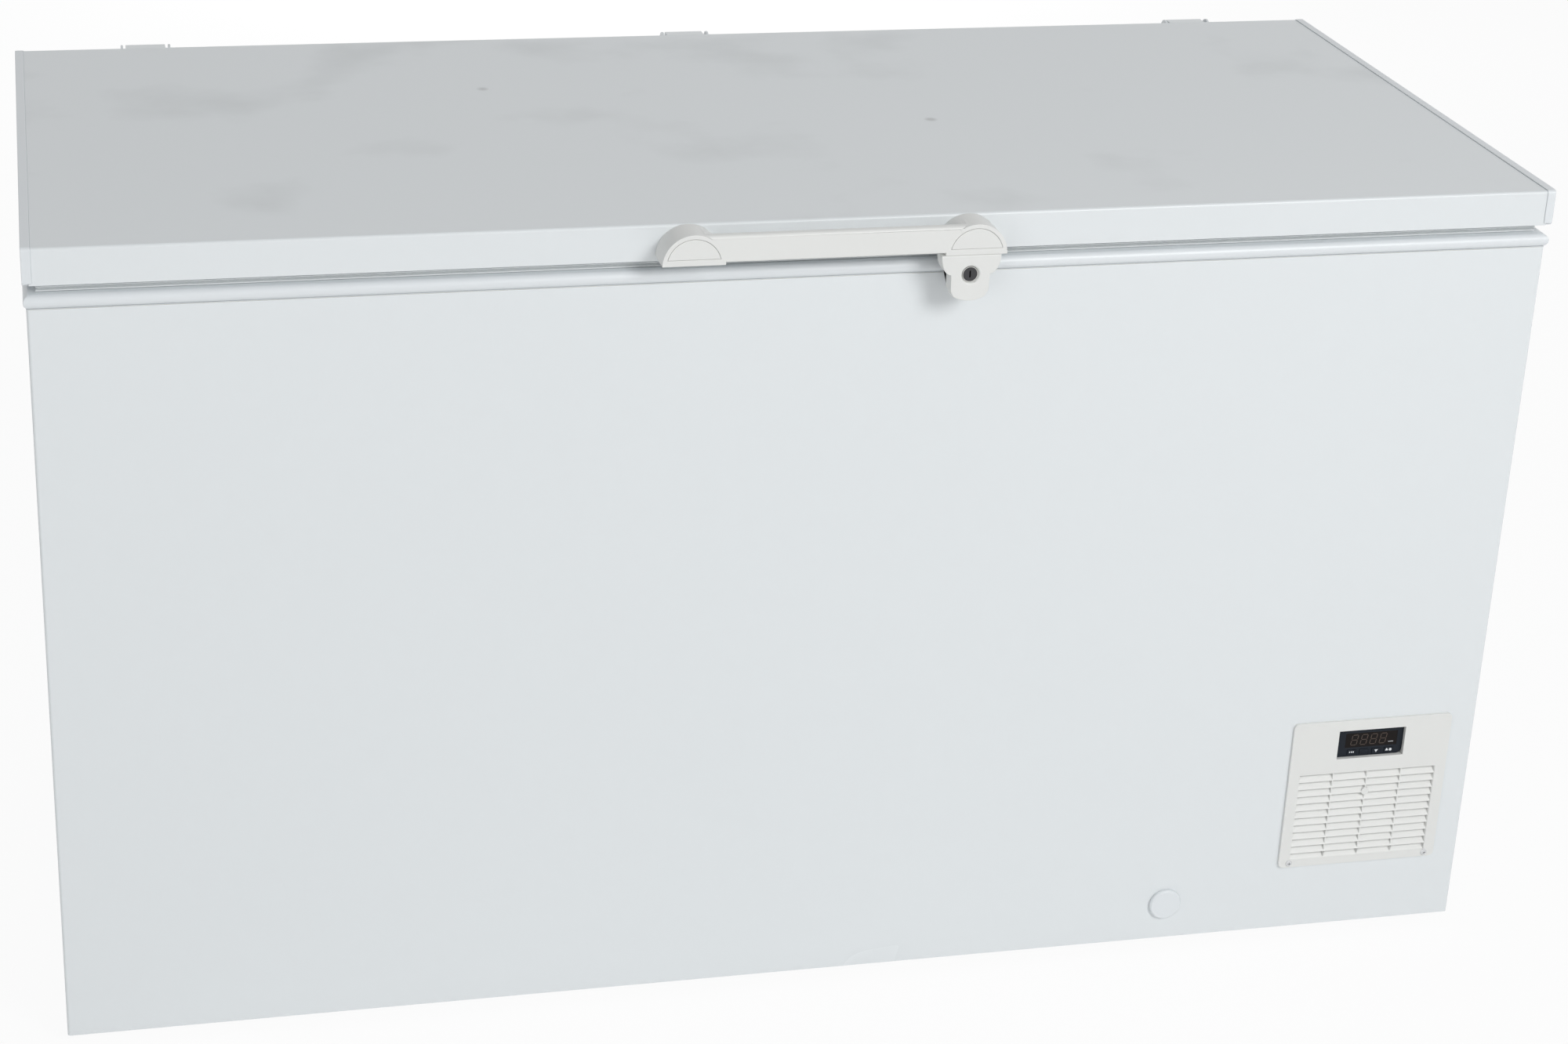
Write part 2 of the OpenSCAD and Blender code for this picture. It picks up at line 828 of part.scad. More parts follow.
module fan_motor() {
    arm_x = fan_r + 18;
    back = motor_y + fan_motor_l;
    color([0.30, 0.31, 0.32]) {
        rod_y(motor_y, back, bay_cx, z_fan, fan_motor_r);
        rod_y(shroud_y - 4, motor_y, bay_cx, z_fan, fan_shaft_r);
        block([bay_cx - arm_x, back, z_fan - 8], [bay_cx + arm_x, back + 2, z_fan + 8]);
        for (s = [-1, 1])
            block(
                [bay_cx + s * (arm_x - 1) - 1, shroud_y + shroud_t, z_fan - 8],
                [bay_cx + s * (arm_x - 1) + 1, back + 2, z_fan + 8]
            );
    }
}

module fan_blade() {
    hub_r = 14;
    hub_l = 20;
    y0 = shroud_y - 2;
    color([0.85, 0.86, 0.86])
    difference() {
        union() {
            rod_y(y0, y0 + hub_l, bay_cx, z_fan, hub_r);
            translate([bay_cx, y0 + hub_l / 2, z_fan])
                for (i = [0:fan_blades - 1])
                    rotate([0, 360 * i / fan_blades, 0])
                        translate([hub_r - 2, 0, 0]) rotate([28, 0, 0])
                            block([0, -0.8, -19], [fan_r - hub_r, 0.8, 19]);
        }
        rod_y(y0 - over, y0 + hub_l + over, bay_cx, z_fan, fan_shaft_r + run);
    }
}

module filter_drier() {
    color([0.72, 0.45, 0.30])
    translate([drier_x, drier_y, z_drier]) rotate_extrude() polygon([
        [0, 0], [pipe_r + 0.8, 0], [pipe_r + 0.8, 8], [drier_r, 16],
        [drier_r, drier_l - 16], [pipe_r + 0.8, drier_l - 8], [pipe_r + 0.8, drier_l], [0, drier_l]
    ]);
}

module suction_tube() {
    color([0.75, 0.48, 0.32])
    sweep(rounded([
        [x_bay + line_end, y_line, z_return],
        [x_bay + line_end + 22, y_line, z_return],
        [x_bay + line_end + 22, comp_y + comp_r + 70, z_return],
        [x_bay + line_end + 22, comp_y + comp_r + 70, z_shell + 40],
        [x_bay + line_end + 22, comp_y + 58, z_shell + 40]
    ], 14), pipe_r, 8);
}

module discharge_tube() {
    top = z_bay - 11;
    side = 30;
    reach = sqrt(comp_r * comp_r - pow(side - pipe_r, 2)) + 0.1;
    color([0.75, 0.48, 0.32])
    sweep(rounded([
        [bay_cx - side, comp_y - reach, z_shell + 60],
        [bay_cx - side, comp_y - comp_r - 28, z_shell + 60],
        [bay_cx - side, comp_y - comp_r - 28, top],
        [cond_x - 8, comp_y - comp_r - 28, top],
        [cond_x - 8, cond_y, top],
        [cond_x - 8, cond_y, z_cond],
        [cond_x, cond_y, z_cond]
    ], 12), pipe_r, 8);
}

module capillary_tube() {
    color([0.75, 0.48, 0.32]) {
        sweep(rounded([
            [drier_x, drier_y, z_drier + drier_l],
            [drier_x, drier_y, z_feed + 20],
            [drier_x, y_line - 20, z_feed + 20],
            [x_bay + line_end, y_line - 20, z_feed],
            [x_bay + line_end, y_line - evap_r, z_feed]
        ], 12), capillary_r, 8);
    }
}

// ---------- front grille and controller ----------

function grille_outline() =
    let (
        x0 = grille_cx - grille_w / 2 + grille_r,
        x1 = grille_cx + grille_w / 2 - grille_r,
        z0 = z_grille + grille_r,
        z1 = z_grille + grille_h - grille_r
    )
    concat(
        arc([x0, z0], grille_r, 180, 270, 6), arc([x1, z0], grille_r, 270, 360, 6),
        arc([x1, z1], grille_r, 0, 90, 6), arc([x0, z1], grille_r, 90, 180, 6)
    );

module front_grille() {
    x0 = grille_cx - louvre_w / 2;
    x1 = grille_cx + louvre_w / 2;
    z0 = z_grille + louvre_up - louvre_pitch + slit_h / 2;
    z1 = z_grille + louvre_up + (louvres - 1) * louvre_pitch + slit_h / 2;
    y1 = y_grille + louvre_depth;
    open_x = grille_w / 2 - grille_lap - near;
    open_z0 = z_grille + opening_up + near;
    open_z1 = z_grille + grille_h - grille_lap - near;
    ctrl_x = ctrl_w / 2 + near;
    color([0.92, 0.92, 0.90])
    difference() {
        union() {
            difference() {
                union() {
                    along_y(y_grille, y_body0) polygon(grille_outline());
                    block(
                        [grille_cx - open_x, y_body0 - over, open_z0],
                        [grille_cx + open_x, y_body0 + grille_skirt, open_z1]
                    );
                }
                block(
                    [grille_cx - open_x + skirt_t, y_body0, open_z0 + skirt_t],
                    [grille_cx + open_x - skirt_t, y_body0 + grille_skirt + over, open_z1 - skirt_t]
                );
                block([x0, y_grille - over, z0], [x1, y_body0 + over, z1]);
            }
            for (i = [0:louvres - 1]) louvre(x0, x1, z_grille + louvre_up + i * louvre_pitch);
            for (k = [0:4])
                block(
                    [x0 + k * (x1 - x0) / 4 - rib_t / 2, y_grille + 0.8, z0 + 2],
                    [x0 + k * (x1 - x0) / 4 + rib_t / 2, y1, z1]
                );
            rod_y(y_grille, y1, grille_cx, z_grille + boss_up, boss_r);
            block(
                [grille_cx - ctrl_x - skirt_t, y_body0 - over, z_ctrl - near - skirt_t],
                [grille_cx + ctrl_x + skirt_t, y_body0 + 24, z_ctrl + ctrl_h + near + skirt_t]
            );
        }
        block(
            [grille_cx - ctrl_x, y_grille - over, z_ctrl - near],
            [grille_cx + ctrl_x, y_body0 + 30, z_ctrl + ctrl_h + near]
        );
        screw_holes(grille_screws, y_grille - over, y_body0 + over);
    }
}

// One louvre under the slit at height z: its lower edge is flush, its upper edge lies deep
module louvre(x0, x1, z) {
    low = z - louvre_pitch + slit_h / 2;
    high = z - slit_h / 2;
    along_x(x0, x1) polygon([
        [y_grille, low],
        [y_grille + louvre_depth, high],
        [y_grille + louvre_depth, high - slat_t],
        [y_grille + slat_t, low]
    ]);
}

function ctrl_outline(o) =
    let (x = ctrl_w / 2 - o, z0 = z_ctrl + o, z1 = z_ctrl + ctrl_h - o)
    concat(
        [[grille_cx - x, z0]],
        arc([grille_cx + x - ctrl_corner, z0 + ctrl_corner], ctrl_corner, 270, 360, 6),
        [[grille_cx + x, z1], [grille_cx - x, z1]]
    );

function button_x(i) = grille_cx + button_first + i * button_pitch;

module display_space(o, y0, y1) {
    block(
        [grille_cx + display_x0 - o, y0, z_ctrl + display_up - o],
        [grille_cx + display_x0 + display_w + o, y1, z_ctrl + display_up + display_h + o]
    );
}

module controller_case() {
    color([0.10, 0.11, 0.13])
    difference() {
        along_y(y_ctrl, y_ctrl + ctrl_depth) polygon(ctrl_outline(0));
        along_y(y_ctrl + ctrl_front, y_ctrl + ctrl_depth - ctrl_wall) polygon(ctrl_outline(ctrl_wall));
        display_space(fit, y_ctrl - over, y_ctrl + ctrl_front + over);
        for (i = [0:3])
            block(
                [
                    button_x(i) - button_w / 2 - 0.15,
                    y_ctrl - over,
                    z_ctrl + button_up_z - button_h / 2 - 0.15
                ],
                [
                    button_x(i) + button_w / 2 + 0.15,
                    y_ctrl + ctrl_front + over,
                    z_ctrl + button_up_z + button_h / 2 + 0.15
                ]
            );
    }
}

module display_window() {
    color([0.06, 0.04, 0.04]) display_space(0, y_ctrl + 0.2, y_ctrl + ctrl_front);
}

module control_board() {
    y0 = y_ctrl + ctrl_front + board_back;
    switch_h = board_back - button_flange - button_travel - 0.2;
    color([0.10, 0.35, 0.18])
    intersection() {
        along_y(y_ctrl + ctrl_front, y_ctrl + ctrl_depth - ctrl_wall) polygon(ctrl_outline(ctrl_wall));
        union() {
            block([grille_cx - ctrl_w, y0, z_ctrl], [grille_cx + ctrl_w, y0 + board_t, z_ctrl + ctrl_h]);
            for (i = [0:3])
                block(
                    [button_x(i) - 3, y0 - switch_h, z_ctrl + button_up_z - 2.5],
                    [button_x(i) + 3, y0 + over, z_ctrl + button_up_z + 2.5]
                );
            display_space(-1, y_ctrl + ctrl_front, y0 + over);
            block(
                [grille_cx - 30, y0, z_ctrl + 6],
                [grille_cx + 30, y_ctrl + ctrl_depth - ctrl_wall, z_ctrl + ctrl_h - 6]
            );
        }
    }
}

// Push button of the controller, held by a flange behind the face
module button(i) {
    z = z_ctrl + button_up_z;
    color([0.13, 0.14, 0.16]) {
        block(
            [button_x(i) - button_w / 2, y_ctrl - button_proud, z - button_h / 2],
            [button_x(i) + button_w / 2, y_ctrl + ctrl_front + button_flange, z + button_h / 2]
        );
        block(
            [button_x(i) - button_w / 2 - 0.9, y_ctrl + ctrl_front, z - button_h / 2],
            [button_x(i) + button_w / 2 + 0.9, y_ctrl + ctrl_front + button_flange, z + button_h / 2 + 0.9]
        );
    }
}

module button_set() {
    button(0);
}

module button_blank() {
    button(1);
}

module button_down() {
    button(2);
}

module button_up() {
    button(3);
}

module temperature_probe() {
    z = z_floor + 170;
    color([0.90, 0.90, 0.88]) {
        difference() {
            block([x_step - 12, -30, z - 11], [x_step, 30, z + 11]);
            block([x_step - 10, -28, z - 9], [x_step - 2, 28, z + 9]);
            for (y = [-20:10:20]) block([x_step - 13, y - 2, z - 7], [x_step - 9, y + 2, z + 7]);
        }
        rod_y(-29, 20, x_step - 5, z, 2.5);
    }
}

// ---------- drain ----------

module drain_tube() {
    elbow = drain_r + 1;
    color([0.88, 0.88, 0.86])
    difference() {
        union() {
            rod_y(y_body0 - drain_flange, drain_y - elbow + over, drain_x, z_drain, drain_r);
            rod_y(y_body0 - drain_flange, y_body0, drain_x, z_drain, drain_cap_r - 2);
            block(
                [drain_x - elbow, drain_y - elbow, z_drain - elbow],
                [drain_x + elbow, drain_y + elbow, z_floor - liner_t]
            );
            rod_z(z_floor - liner_t - over, z_floor, drain_x, drain_y, drain_r);
        }
        rod_y(y_body0 - drain_flange - over, drain_y, drain_x, z_drain, drain_bore);
        rod_z(z_drain, z_floor + over, drain_x, drain_y, floor_bore);
    }
}

module drain_cap() {
    y0 = y_body0 - drain_cap_out;
    y1 = y_body0 - drain_flange;
    bevel = 1.5;
    plug_l = 12;
    skirt_gap = 0.4;
    color([0.95, 0.95, 0.94])
    translate([drain_x, 0, z_drain]) rotate([-90, 0, 0]) rotate_extrude() polygon([
        [0, y0], [drain_cap_r - bevel, y0], [drain_cap_r, y0 + bevel],
        [drain_cap_r, y_body0 - near], [drain_cap_r - 2 + skirt_gap, y_body0 - near],
        [drain_cap_r - 2 + skirt_gap, y1], [drain_bore - 0.1, y1],
        [drain_bore - 0.1, y1 + plug_l], [0, y1 + plug_l]
    ]);
}

module drain_stopper() {
    color([0.25, 0.25, 0.27])
    translate([drain_x, drain_y, z_floor]) rotate_extrude() polygon([
        [0, -12], [floor_bore - 1.2, -12], [floor_bore - 0.1, -6], [floor_bore - 0.1, 0],
        [14, 0], [14, 3], [5, 3], [5, 14], [0, 14]
    ]);
}

// ---------- rear of the bay ----------

module rear_bay_cover() {
    x0 = bay_cx - rear_open_w / 2;
    x1 = bay_cx + rear_open_w / 2;
    z0 = z_body + rear_open_up;
    slot_rows = 9;
    slot_pitch = 18;
    color([0.70, 0.72, 0.73])
    difference() {
        block(
            [x0 - rear_lap, y_body1, z0 - rear_lap],
            [x1 + rear_lap, y_body1 + rear_cover_t, z0 + rear_open_h + rear_lap]
        );
        for (i = [0:slot_rows - 1], x = [x0 + 10, bay_cx + 5])
            block(
                [x, y_body1 - over, z0 + 54 + i * slot_pitch],
                [x + rear_open_w / 2 - 15, y_body1 + over + rear_cover_t, z0 + 60 + i * slot_pitch]
            );
        screw_holes(cover_screws, y_body1 - over, y_body1 + rear_cover_t + over);
        rod_y(y_body1 - over, y_body1 + rear_cover_t + over, gland_x, z_body + gland_up, gland_r + fit);
    }
}

module terminal_box() {
    y0 = y_body1 - 150;
    z0 = z_body + 60;
    color([0.20, 0.20, 0.21])
    difference() {
        block([x_bay, y0, z0], [x_bay + 42, y0 + 90, z0 + 70]);
        block([x_bay + 2, y0 + 2, z0 + 2], [x_bay + 40, y0 + 88, z0 + 68]);
        rod_y(y0 + 80, y0 + 92, x_bay + 21, z0 + 20, 5);
    }
}

module cord_gland() {
    lip = 3;
    color([0.12, 0.12, 0.12])
    translate([gland_x, y_body1, z_body + gland_up]) rotate([-90, 0, 0]) rotate_extrude() polygon([
        [4.5, -12], [gland_r + lip, -12], [gland_r + lip, 0], [gland_r, 0],
        [gland_r, rear_cover_t], [gland_r + lip, rear_cover_t], [gland_r + lip, 6],
        [gland_r - 1, 14], [4.5, 14]
    ]);
}

// ---------- lock strike, hinge bases and the cabinet's screws ----------

module lock_strike() {
    x0 = lock_x - strike_w0;
    x1 = lock_x + strike_w1;
    z0 = z_rim - strike_drop;
    color([0.75, 0.76, 0.76])
    difference() {
        union() {
            block([x0, y_front - base_t, z0], [x1, y_front, z_rim + strike_top_t]);
            block([x0, y_front - base_t, z0], [x1, y_body0, z0 + strike_plate_h]);
            block([lock_x + lock_r + 1, y_front - strike_out, z_rim], [x1, y_front, z_rim + strike_top_t]);
        }
        screw_holes(strike_screws, y_front - base_t - over, y_body0 + over);
    }
}

function ear_outline() = concat(
    [
        [y_body1, z_top - ear_drop],
        [y_body1 + 8, z_top - ear_drop],
        [pivot_y + ear_r, z_top - ear_drop + 60]
    ],
    arc([pivot_y, pivot_z], ear_r, 0, 180, 12),
    [[pivot_y - ear_r, z_top - 2], [y_body1, z_top - 2]]
);

module hinge_bases() {
    color([0.90, 0.91, 0.91])
    for (x = hinge_xs) difference() {
        union() {
            for (s = [0, 1]) {
                e = x - hinge_w / 2 - ear_t + s * (hinge_w + ear_t);
                along_x(e, e + ear_t) polygon(ear_outline());
            }
            block(
                [x - hinge_w / 2 - over, y_body1, z_top - ear_drop],
                [x + hinge_w / 2 + over, y_body1 + base_t, z_top - 2]
            );
        }
        rod_x(x - hinge_w, x + hinge_w, pivot_y, pivot_z, pin_r + fit / 2);
        screw_holes(hinge_screws, y_body1 - over, y_body1 + base_t + over);
    }
}

module hinge_pins() {
    color([0.78, 0.79, 0.80])
    for (x = hinge_xs) {
        rod_x(x - hinge_w / 2 - ear_t, x + hinge_w / 2 + ear_t + 1, pivot_y, pivot_z, pin_r);
        rod_x(x - hinge_w / 2 - ear_t - 2, x - hinge_w / 2 - ear_t, pivot_y, pivot_z, pin_r + 1.5);
    }
}

// Coil round the hinge pin with one leg on the base and one under the leaf
function spring_path(x) =
    let (
        steps = spring_turns * 12,
        half = 13,
        reach = z_top - 8 - pivot_z
    )
    concat(
        [
            [x - half, y_body1 + base_t + spring_wire + 0.1, reach + pivot_z],
            [x - half, pivot_y - spring_r, pivot_z - 26],
            [x - half, pivot_y - spring_r, pivot_z - 5]
        ],
        [for (i = [0:steps + 3])
            let (a = 180 - 30 * i)
            [
                x - half + 2 * half * i / (steps + 3),
                pivot_y + spring_r * cos(a),
                pivot_z + spring_r * sin(a)
            ]],
        [
            [x + half, pivot_y - 9, pivot_z + spring_r - 0.1]
        ]
    );

module hinge_springs() {
    color([0.50, 0.51, 0.53])
    for (x = hinge_xs) sweep(spring_path(x), spring_wire, 6);
}

module cabinet_screws() {
    color([0.78, 0.79, 0.80]) {
        for (p = concat(grille_screws, strike_screws)) screw(p, screw_l, true);
        for (p = concat(cover_screws, hinge_screws)) screw(p, screw_l, false);
    }
}

// ---------- lid ----------

// Section of the lid's shell from its front lip over the top to its rear lip
function skin_line(o) = concat(
    [[y_front + skin_lip, z_lid + o], [y_front + o, z_lid + o]],
    arc([y_front + bend_r, z_skin - bend_r], bend_r - o, 180, 90, 6),
    arc([y_rear - bend_r, z_skin - bend_r], bend_r - o, 90, 0, 6),
    [[y_rear - o, z_lid + o], [y_rear - skin_lip, z_lid + o]]
);

module lid_skin() {
    x = half_w - cap_w;
    color([0.88, 0.90, 0.91])
    difference() {
        along_x(-x, x) polygon(concat(skin_line(0), reversed(skin_line(sheet_t))));
        screw_holes(handle_screws, y_front - over, y_front + 3);
        screw_holes(leaf_screws, y_rear - 3, y_rear + over);
    }
}

// End cap with a thin lip over the edge of the lid's shell
module lid_cap(side) {
    x0 = half_w - cap_w - cap_lip;
    r = cap_corner;
    y0 = y_front - cap_rise;
    y1 = y_rear;
    z1 = z_skin + cap_rise;
    color([0.90, 0.91, 0.92])
    mirror([side < 0 ? 1 : 0, 0, 0]) difference() {
        along_x(x0, half_w) polygon(concat(
            arc([y0 + r, z_lid + r], r, 180, 270, 6), arc([y1 - r, z_lid + r], r, 270, 360, 6),
            arc([y1 - r, z1 - r], r, 0, 90, 6), arc([y0 + r, z1 - r], r, 90, 180, 6)
        ));
        along_x(x0 - over, half_w - cap_w) polygon(concat(
            [[y_front, z_lid - over], [y_rear + over, z_lid - over], [y_rear + over, z_skin]],
            arc([y_front + bend_r, z_skin - bend_r], bend_r, 90, 180, 6)
        ));
    }
}

module lid_cap_left() {
    lid_cap(-1);
}

module lid_cap_right() {
    lid_cap(1);
}

module lid_foam() {
    x = half_w - cap_w;
    color([0.93, 0.86, 0.60])
    difference() {
        union() {
            along_x(-x, x) polygon([
                for (p = skin_line(sheet_t)) [min(max(p[0], y_front + sheet_t), y_rear - sheet_t), p[1]]
            ]);
            block(
                [-half_w + skin_lip, y_front + skin_lip, z_lid],
                [half_w - skin_lip, y_rear - skin_lip, z_lid + 2]
            );
            block(
                [-half_w + pan_inset + 1, y_front + pan_inset + 1, z_pan + 1],
                [half_w - pan_inset - 1, y_rear - pan_inset - 1, z_lid + 2]
            );
        }
        screw_holes(handle_screws, y_front, y_front + 26);
        screw_holes(leaf_screws, y_rear - screw_l - 2, y_rear);
    }
}

module lid_liner() {
    color([0.86, 0.87, 0.87])
    union() {
        ring(flange_inset, pan_inset + 1, z_flange, z_lid);
        difference() {
            block(
                [-half_w + pan_inset, y_front + pan_inset, z_pan],
                [half_w - pan_inset, y_rear - pan_inset, z_lid]
            );
            block(
                [-half_w + pan_inset + 1, y_front + pan_inset + 1, z_pan + 1],
                [half_w - pan_inset - 1, y_rear - pan_inset - 1, z_lid + over]
            );
        }
    }
}

module lid_gasket() {
    inner = gasket_inset + gasket_w;
    color([0.95, 0.95, 0.95])
    difference() {
        bull_slab(gasket_inset, z_rim, z_flange);
        block([-half_w + inner, y_front + inner, z_rim - over], [half_w - inner, y_rear - inner, z_lid]);
    }
}

// Leaf that straps the hinge pin: two cheeks, a plate on the lid and a web over the top
module hinge_leaves() {
    half = hinge_w / 2 - leaf_gap;
    web = 1.5;
    tail = 9;
    color([0.90, 0.91, 0.91])
    for (x = hinge_xs) difference() {
        union() {
            block([x - half, y_rear, z_lid + 2], [x + half, y_rear + leaf_t, pivot_z + leaf_top + web]);
            block(
                [x - half, y_rear, pivot_z + leaf_top],
                [x + half, pivot_y + tail, pivot_z + leaf_top + web]
            );
            block(
                [x - half, pivot_y + tail - web, pivot_z - 3],
                [x + half, pivot_y + tail, pivot_z + leaf_top + web]
            );
            for (s = [0, 1]) {
                e = x - half + s * (2 * half - leaf_t);
                along_x(e, e + leaf_t) polygon([
                    [y_rear, z_lid + 8], [pivot_y, pivot_z - 8], [pivot_y + 6, pivot_z - 6],
                    [pivot_y + tail, pivot_z - 3], [pivot_y + tail, pivot_z + leaf_top],
                    [y_rear, pivot_z + leaf_top]
                ]);
            }
        }
        rod_x(x - hinge_w, x + hinge_w, pivot_y, pivot_z, pin_r + run);
        screw_holes(leaf_screws, y_rear - over, y_rear + leaf_t + over);
    }
}

module lid_screws() {
    color([0.78, 0.79, 0.80]) {
        for (p = leaf_screws) screw(p, screw_l, false);
        for (p = handle_screws) screw(p, 36, true);
    }
}

// Flat-bottomed dome of a handle bracket
module dome(x, r, y0, y1) {
    intersection() {
        rod_y(y0, y1, x, z_handle, r);
        block([x - r - over, y0 - over, z_handle], [x + r + over, y1 + over, z_handle + r + over]);
    }
}

// Field of a bracket's screw cover
module cover_field(x, r, y0, y1, chord) {
    intersection() {
        rod_y(y0, y1, x, z_handle, r);
        block([x - r - over, y0 - over, z_handle + chord], [x + r + over, y1 + over, z_handle + r + over]);
    }
}

module handle() {
    edge = 4;
    y1 = y_handle + bar_t;
    z0 = z_handle + bar_lift;
    z1 = z0 + bar_h;
    groove = 0.3;
    color([0.91, 0.91, 0.90])
    difference() {
        union() {
            for (s = [-1, 1]) dome(s * bracket_x, dome_r, y_handle, y_front);
            along_x(-bracket_x, bracket_x) polygon(concat(
                [[y_handle + 1, z0], [y1 - 2, z0], [y1, z0 + 2]],
                arc([y1 - edge, z1 - edge], edge, 0, 90, 6),
                arc([y_handle + edge, z1 - edge], edge, 90, 180, 6),
                [[y_handle, z0 + 1]]
            ));
        }
        for (s = [-1, 1])
            cover_field(
                s * bracket_x, cover_r + groove,
                y_handle - over, y_handle + cover_t, cover_chord - groove
            );
        for (p = handle_screws) rod_y(y_handle, p[1], p[0], p[2], head_r + near);
        screw_holes(handle_screws, y_handle, y_front + over);
    }
}

module handle_covers() {
    color([0.92, 0.92, 0.91])
    for (s = [-1, 1])
        cover_field(s * bracket_x, cover_r, y_handle, y_handle + cover_t, cover_chord);
}

// Outline of the lock housing about the cylinder's axis, drawn in by o
function housing_outline(o) =
    let (
        w = shoulder_w - o,
        t = tongue_w - o,
        low = -tongue_h + o,
        right = concat(
            [for (a = [0:15:90]) [t + (w - t) * cos(a), -lock_drop * sin(a)]],
            [[t - 0.6, low + 6], [t - 4, low]]
        ),
        bottom = [for (i = [1:7]) let (k = i / 4 - 1) [-(t - 4) * k, low - tongue_bulge * (1 - k * k)]]
    )
    [for (p = concat(right, bottom, [for (i = [len(right) - 1:-1:0]) [-right[i][0], right[i][1]]]))
        [lock_x + p[0], z_handle + p[1]]];

module lock_housing() {
    funnel = 1.6;
    wall = 2.6;
    color([0.91, 0.91, 0.90])
    difference() {
        along_y(y_lock, y_lock_back) polygon(housing_outline(0));
        difference() {
            along_y(y_lock + 4, y_lock_back + over) polygon([
                for (p = housing_outline(wall)) [p[0], min(p[1], z_handle - wall)]
            ]);
            rod_y(y_lock, y_lock_back + 2 * over, lock_x, z_lock, lock_r + 3.5);
        }
        rod_y(y_lock - over, y_lock_back + over, lock_x, z_lock, lock_r + run);
        translate([lock_x, y_lock, z_lock]) rotate([-90, 0, 0]) translate([0, 0, -0.01])
            cylinder(r1 = lock_r + funnel, r2 = lock_r + run, h = funnel + 0.01);
    }
}

module lock_cylinder() {
    key_w = 1.4;
    key_h = 7;
    color([0.35, 0.35, 0.36])
    difference() {
        union() {
            rod_y(y_lock + 1.2, y_cam, lock_x, z_lock, lock_r);
            rod_y(y_cam - over, y_cam + cam_t + 2, lock_x, z_lock, spindle_r);
        }
        block(
            [lock_x - key_w / 2, y_lock, z_lock - key_h / 2],
            [lock_x + key_w / 2, y_lock + 12, z_lock + key_h / 2]
        );
    }
}

module lock_cam() {
    color([0.74, 0.75, 0.75])
    difference() {
        union() {
            block(
                [lock_x - cam_w / 2, y_cam, z_lock - cam_l],
                [lock_x + cam_w / 2, y_cam + cam_t, z_lock]
            );
            rod_y(y_cam, y_cam + cam_t, lock_x, z_lock, 5.5);
        }
        rod_y(y_cam - over, y_cam + cam_t + over, lock_x, z_lock, spindle_r + fit / 2);
    }
}

// ---------- basket ----------

// Straight wire between two points on one axis line, with eight flats
module wire(a, b, r) {
    d = b - a;
    turn = d[0] != 0 ? [0, 90, 0] : d[1] != 0 ? [-90, 0, 0] : [0, 0, 0];
    translate(a) rotate(turn) cylinder(r = r, h = norm(d), $fn = 8);
}

module wire_basket() {
    x0 = basket_x - basket_l / 2;
    x1 = basket_x + basket_l / 2;
    y0 = y_tub0 + basket_gap;
    y1 = y_tub1 - basket_gap;
    z1 = z_basket;
    z0 = z_basket - basket_h;
    step_x = basket_l / basket_nx;
    step_y = (y1 - y0) / basket_ny;
    color([0.93, 0.94, 0.94])
    union() {
        for (x = [x0, x1])
            wire(
                [x, y0 - basket_gap - basket_hook, z1],
                [x, y1 + basket_gap + basket_hook, z1],
                frame_r
            );
        for (y = [y0, y1]) wire([x0, y, z1], [x1, y, z1], frame_r);
        for (i = [0:basket_nx]) {
            x = x0 + i * step_x;
            wire([x, y0, z0], [x, y1, z0], wire_r);
            for (y = [y0, y1]) wire([x, y, z0], [x, y, z1], wire_r);
        }
        for (j = [0:basket_ny]) {
            y = y0 + j * step_y;
            wire([x0, y, z0], [x1, y, z0], wire_r);
            for (x = [x0, x1]) wire([x, y, z0], [x, y, z1], wire_r);
        }
        for (k = [1, 2]) {
            z = z0 + k * basket_h / 3;
            for (x = [x0, x1]) wire([x, y0, z], [x, y1, z], wire_r);
            for (y = [y0, y1]) wire([x0, y, z], [x1, y, z], wire_r);
        }
    }
}

outer_wrapper();
rear_panel();
base_pan();
bay_bulkhead();
cabinet_foam();
inner_liner();
evaporator_tube();
top_rim();
glide_feet();
compressor_tray();
compressor_lower_shell();
compressor_upper_shell();
compressor_pump();
compressor_grommets();
compressor_bolts();
relay_cover();
condenser_tube();
condenser_wires();
condenser_brackets();
fan_shroud();
fan_motor();
fan_blade();
filter_drier();
suction_tube();
discharge_tube();
capillary_tube();
front_grille();
controller_case();
display_window();
control_board();
button_set();
button_blank();
button_down();
button_up();
temperature_probe();
drain_tube();
drain_cap();
drain_stopper();
rear_bay_cover();
terminal_box();
cord_gland();
lock_strike();
hinge_bases();
hinge_pins();
hinge_springs();
cabinet_screws();
lid_skin();
lid_cap_left();
lid_cap_right();
lid_foam();
lid_liner();
lid_gasket();
hinge_leaves();
lid_screws();
handle();
handle_covers();
lock_housing();
lock_cylinder();
lock_cam();
wire_basket();
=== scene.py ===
import math

import bmesh
import bpy
from mathutils import Matrix, Vector


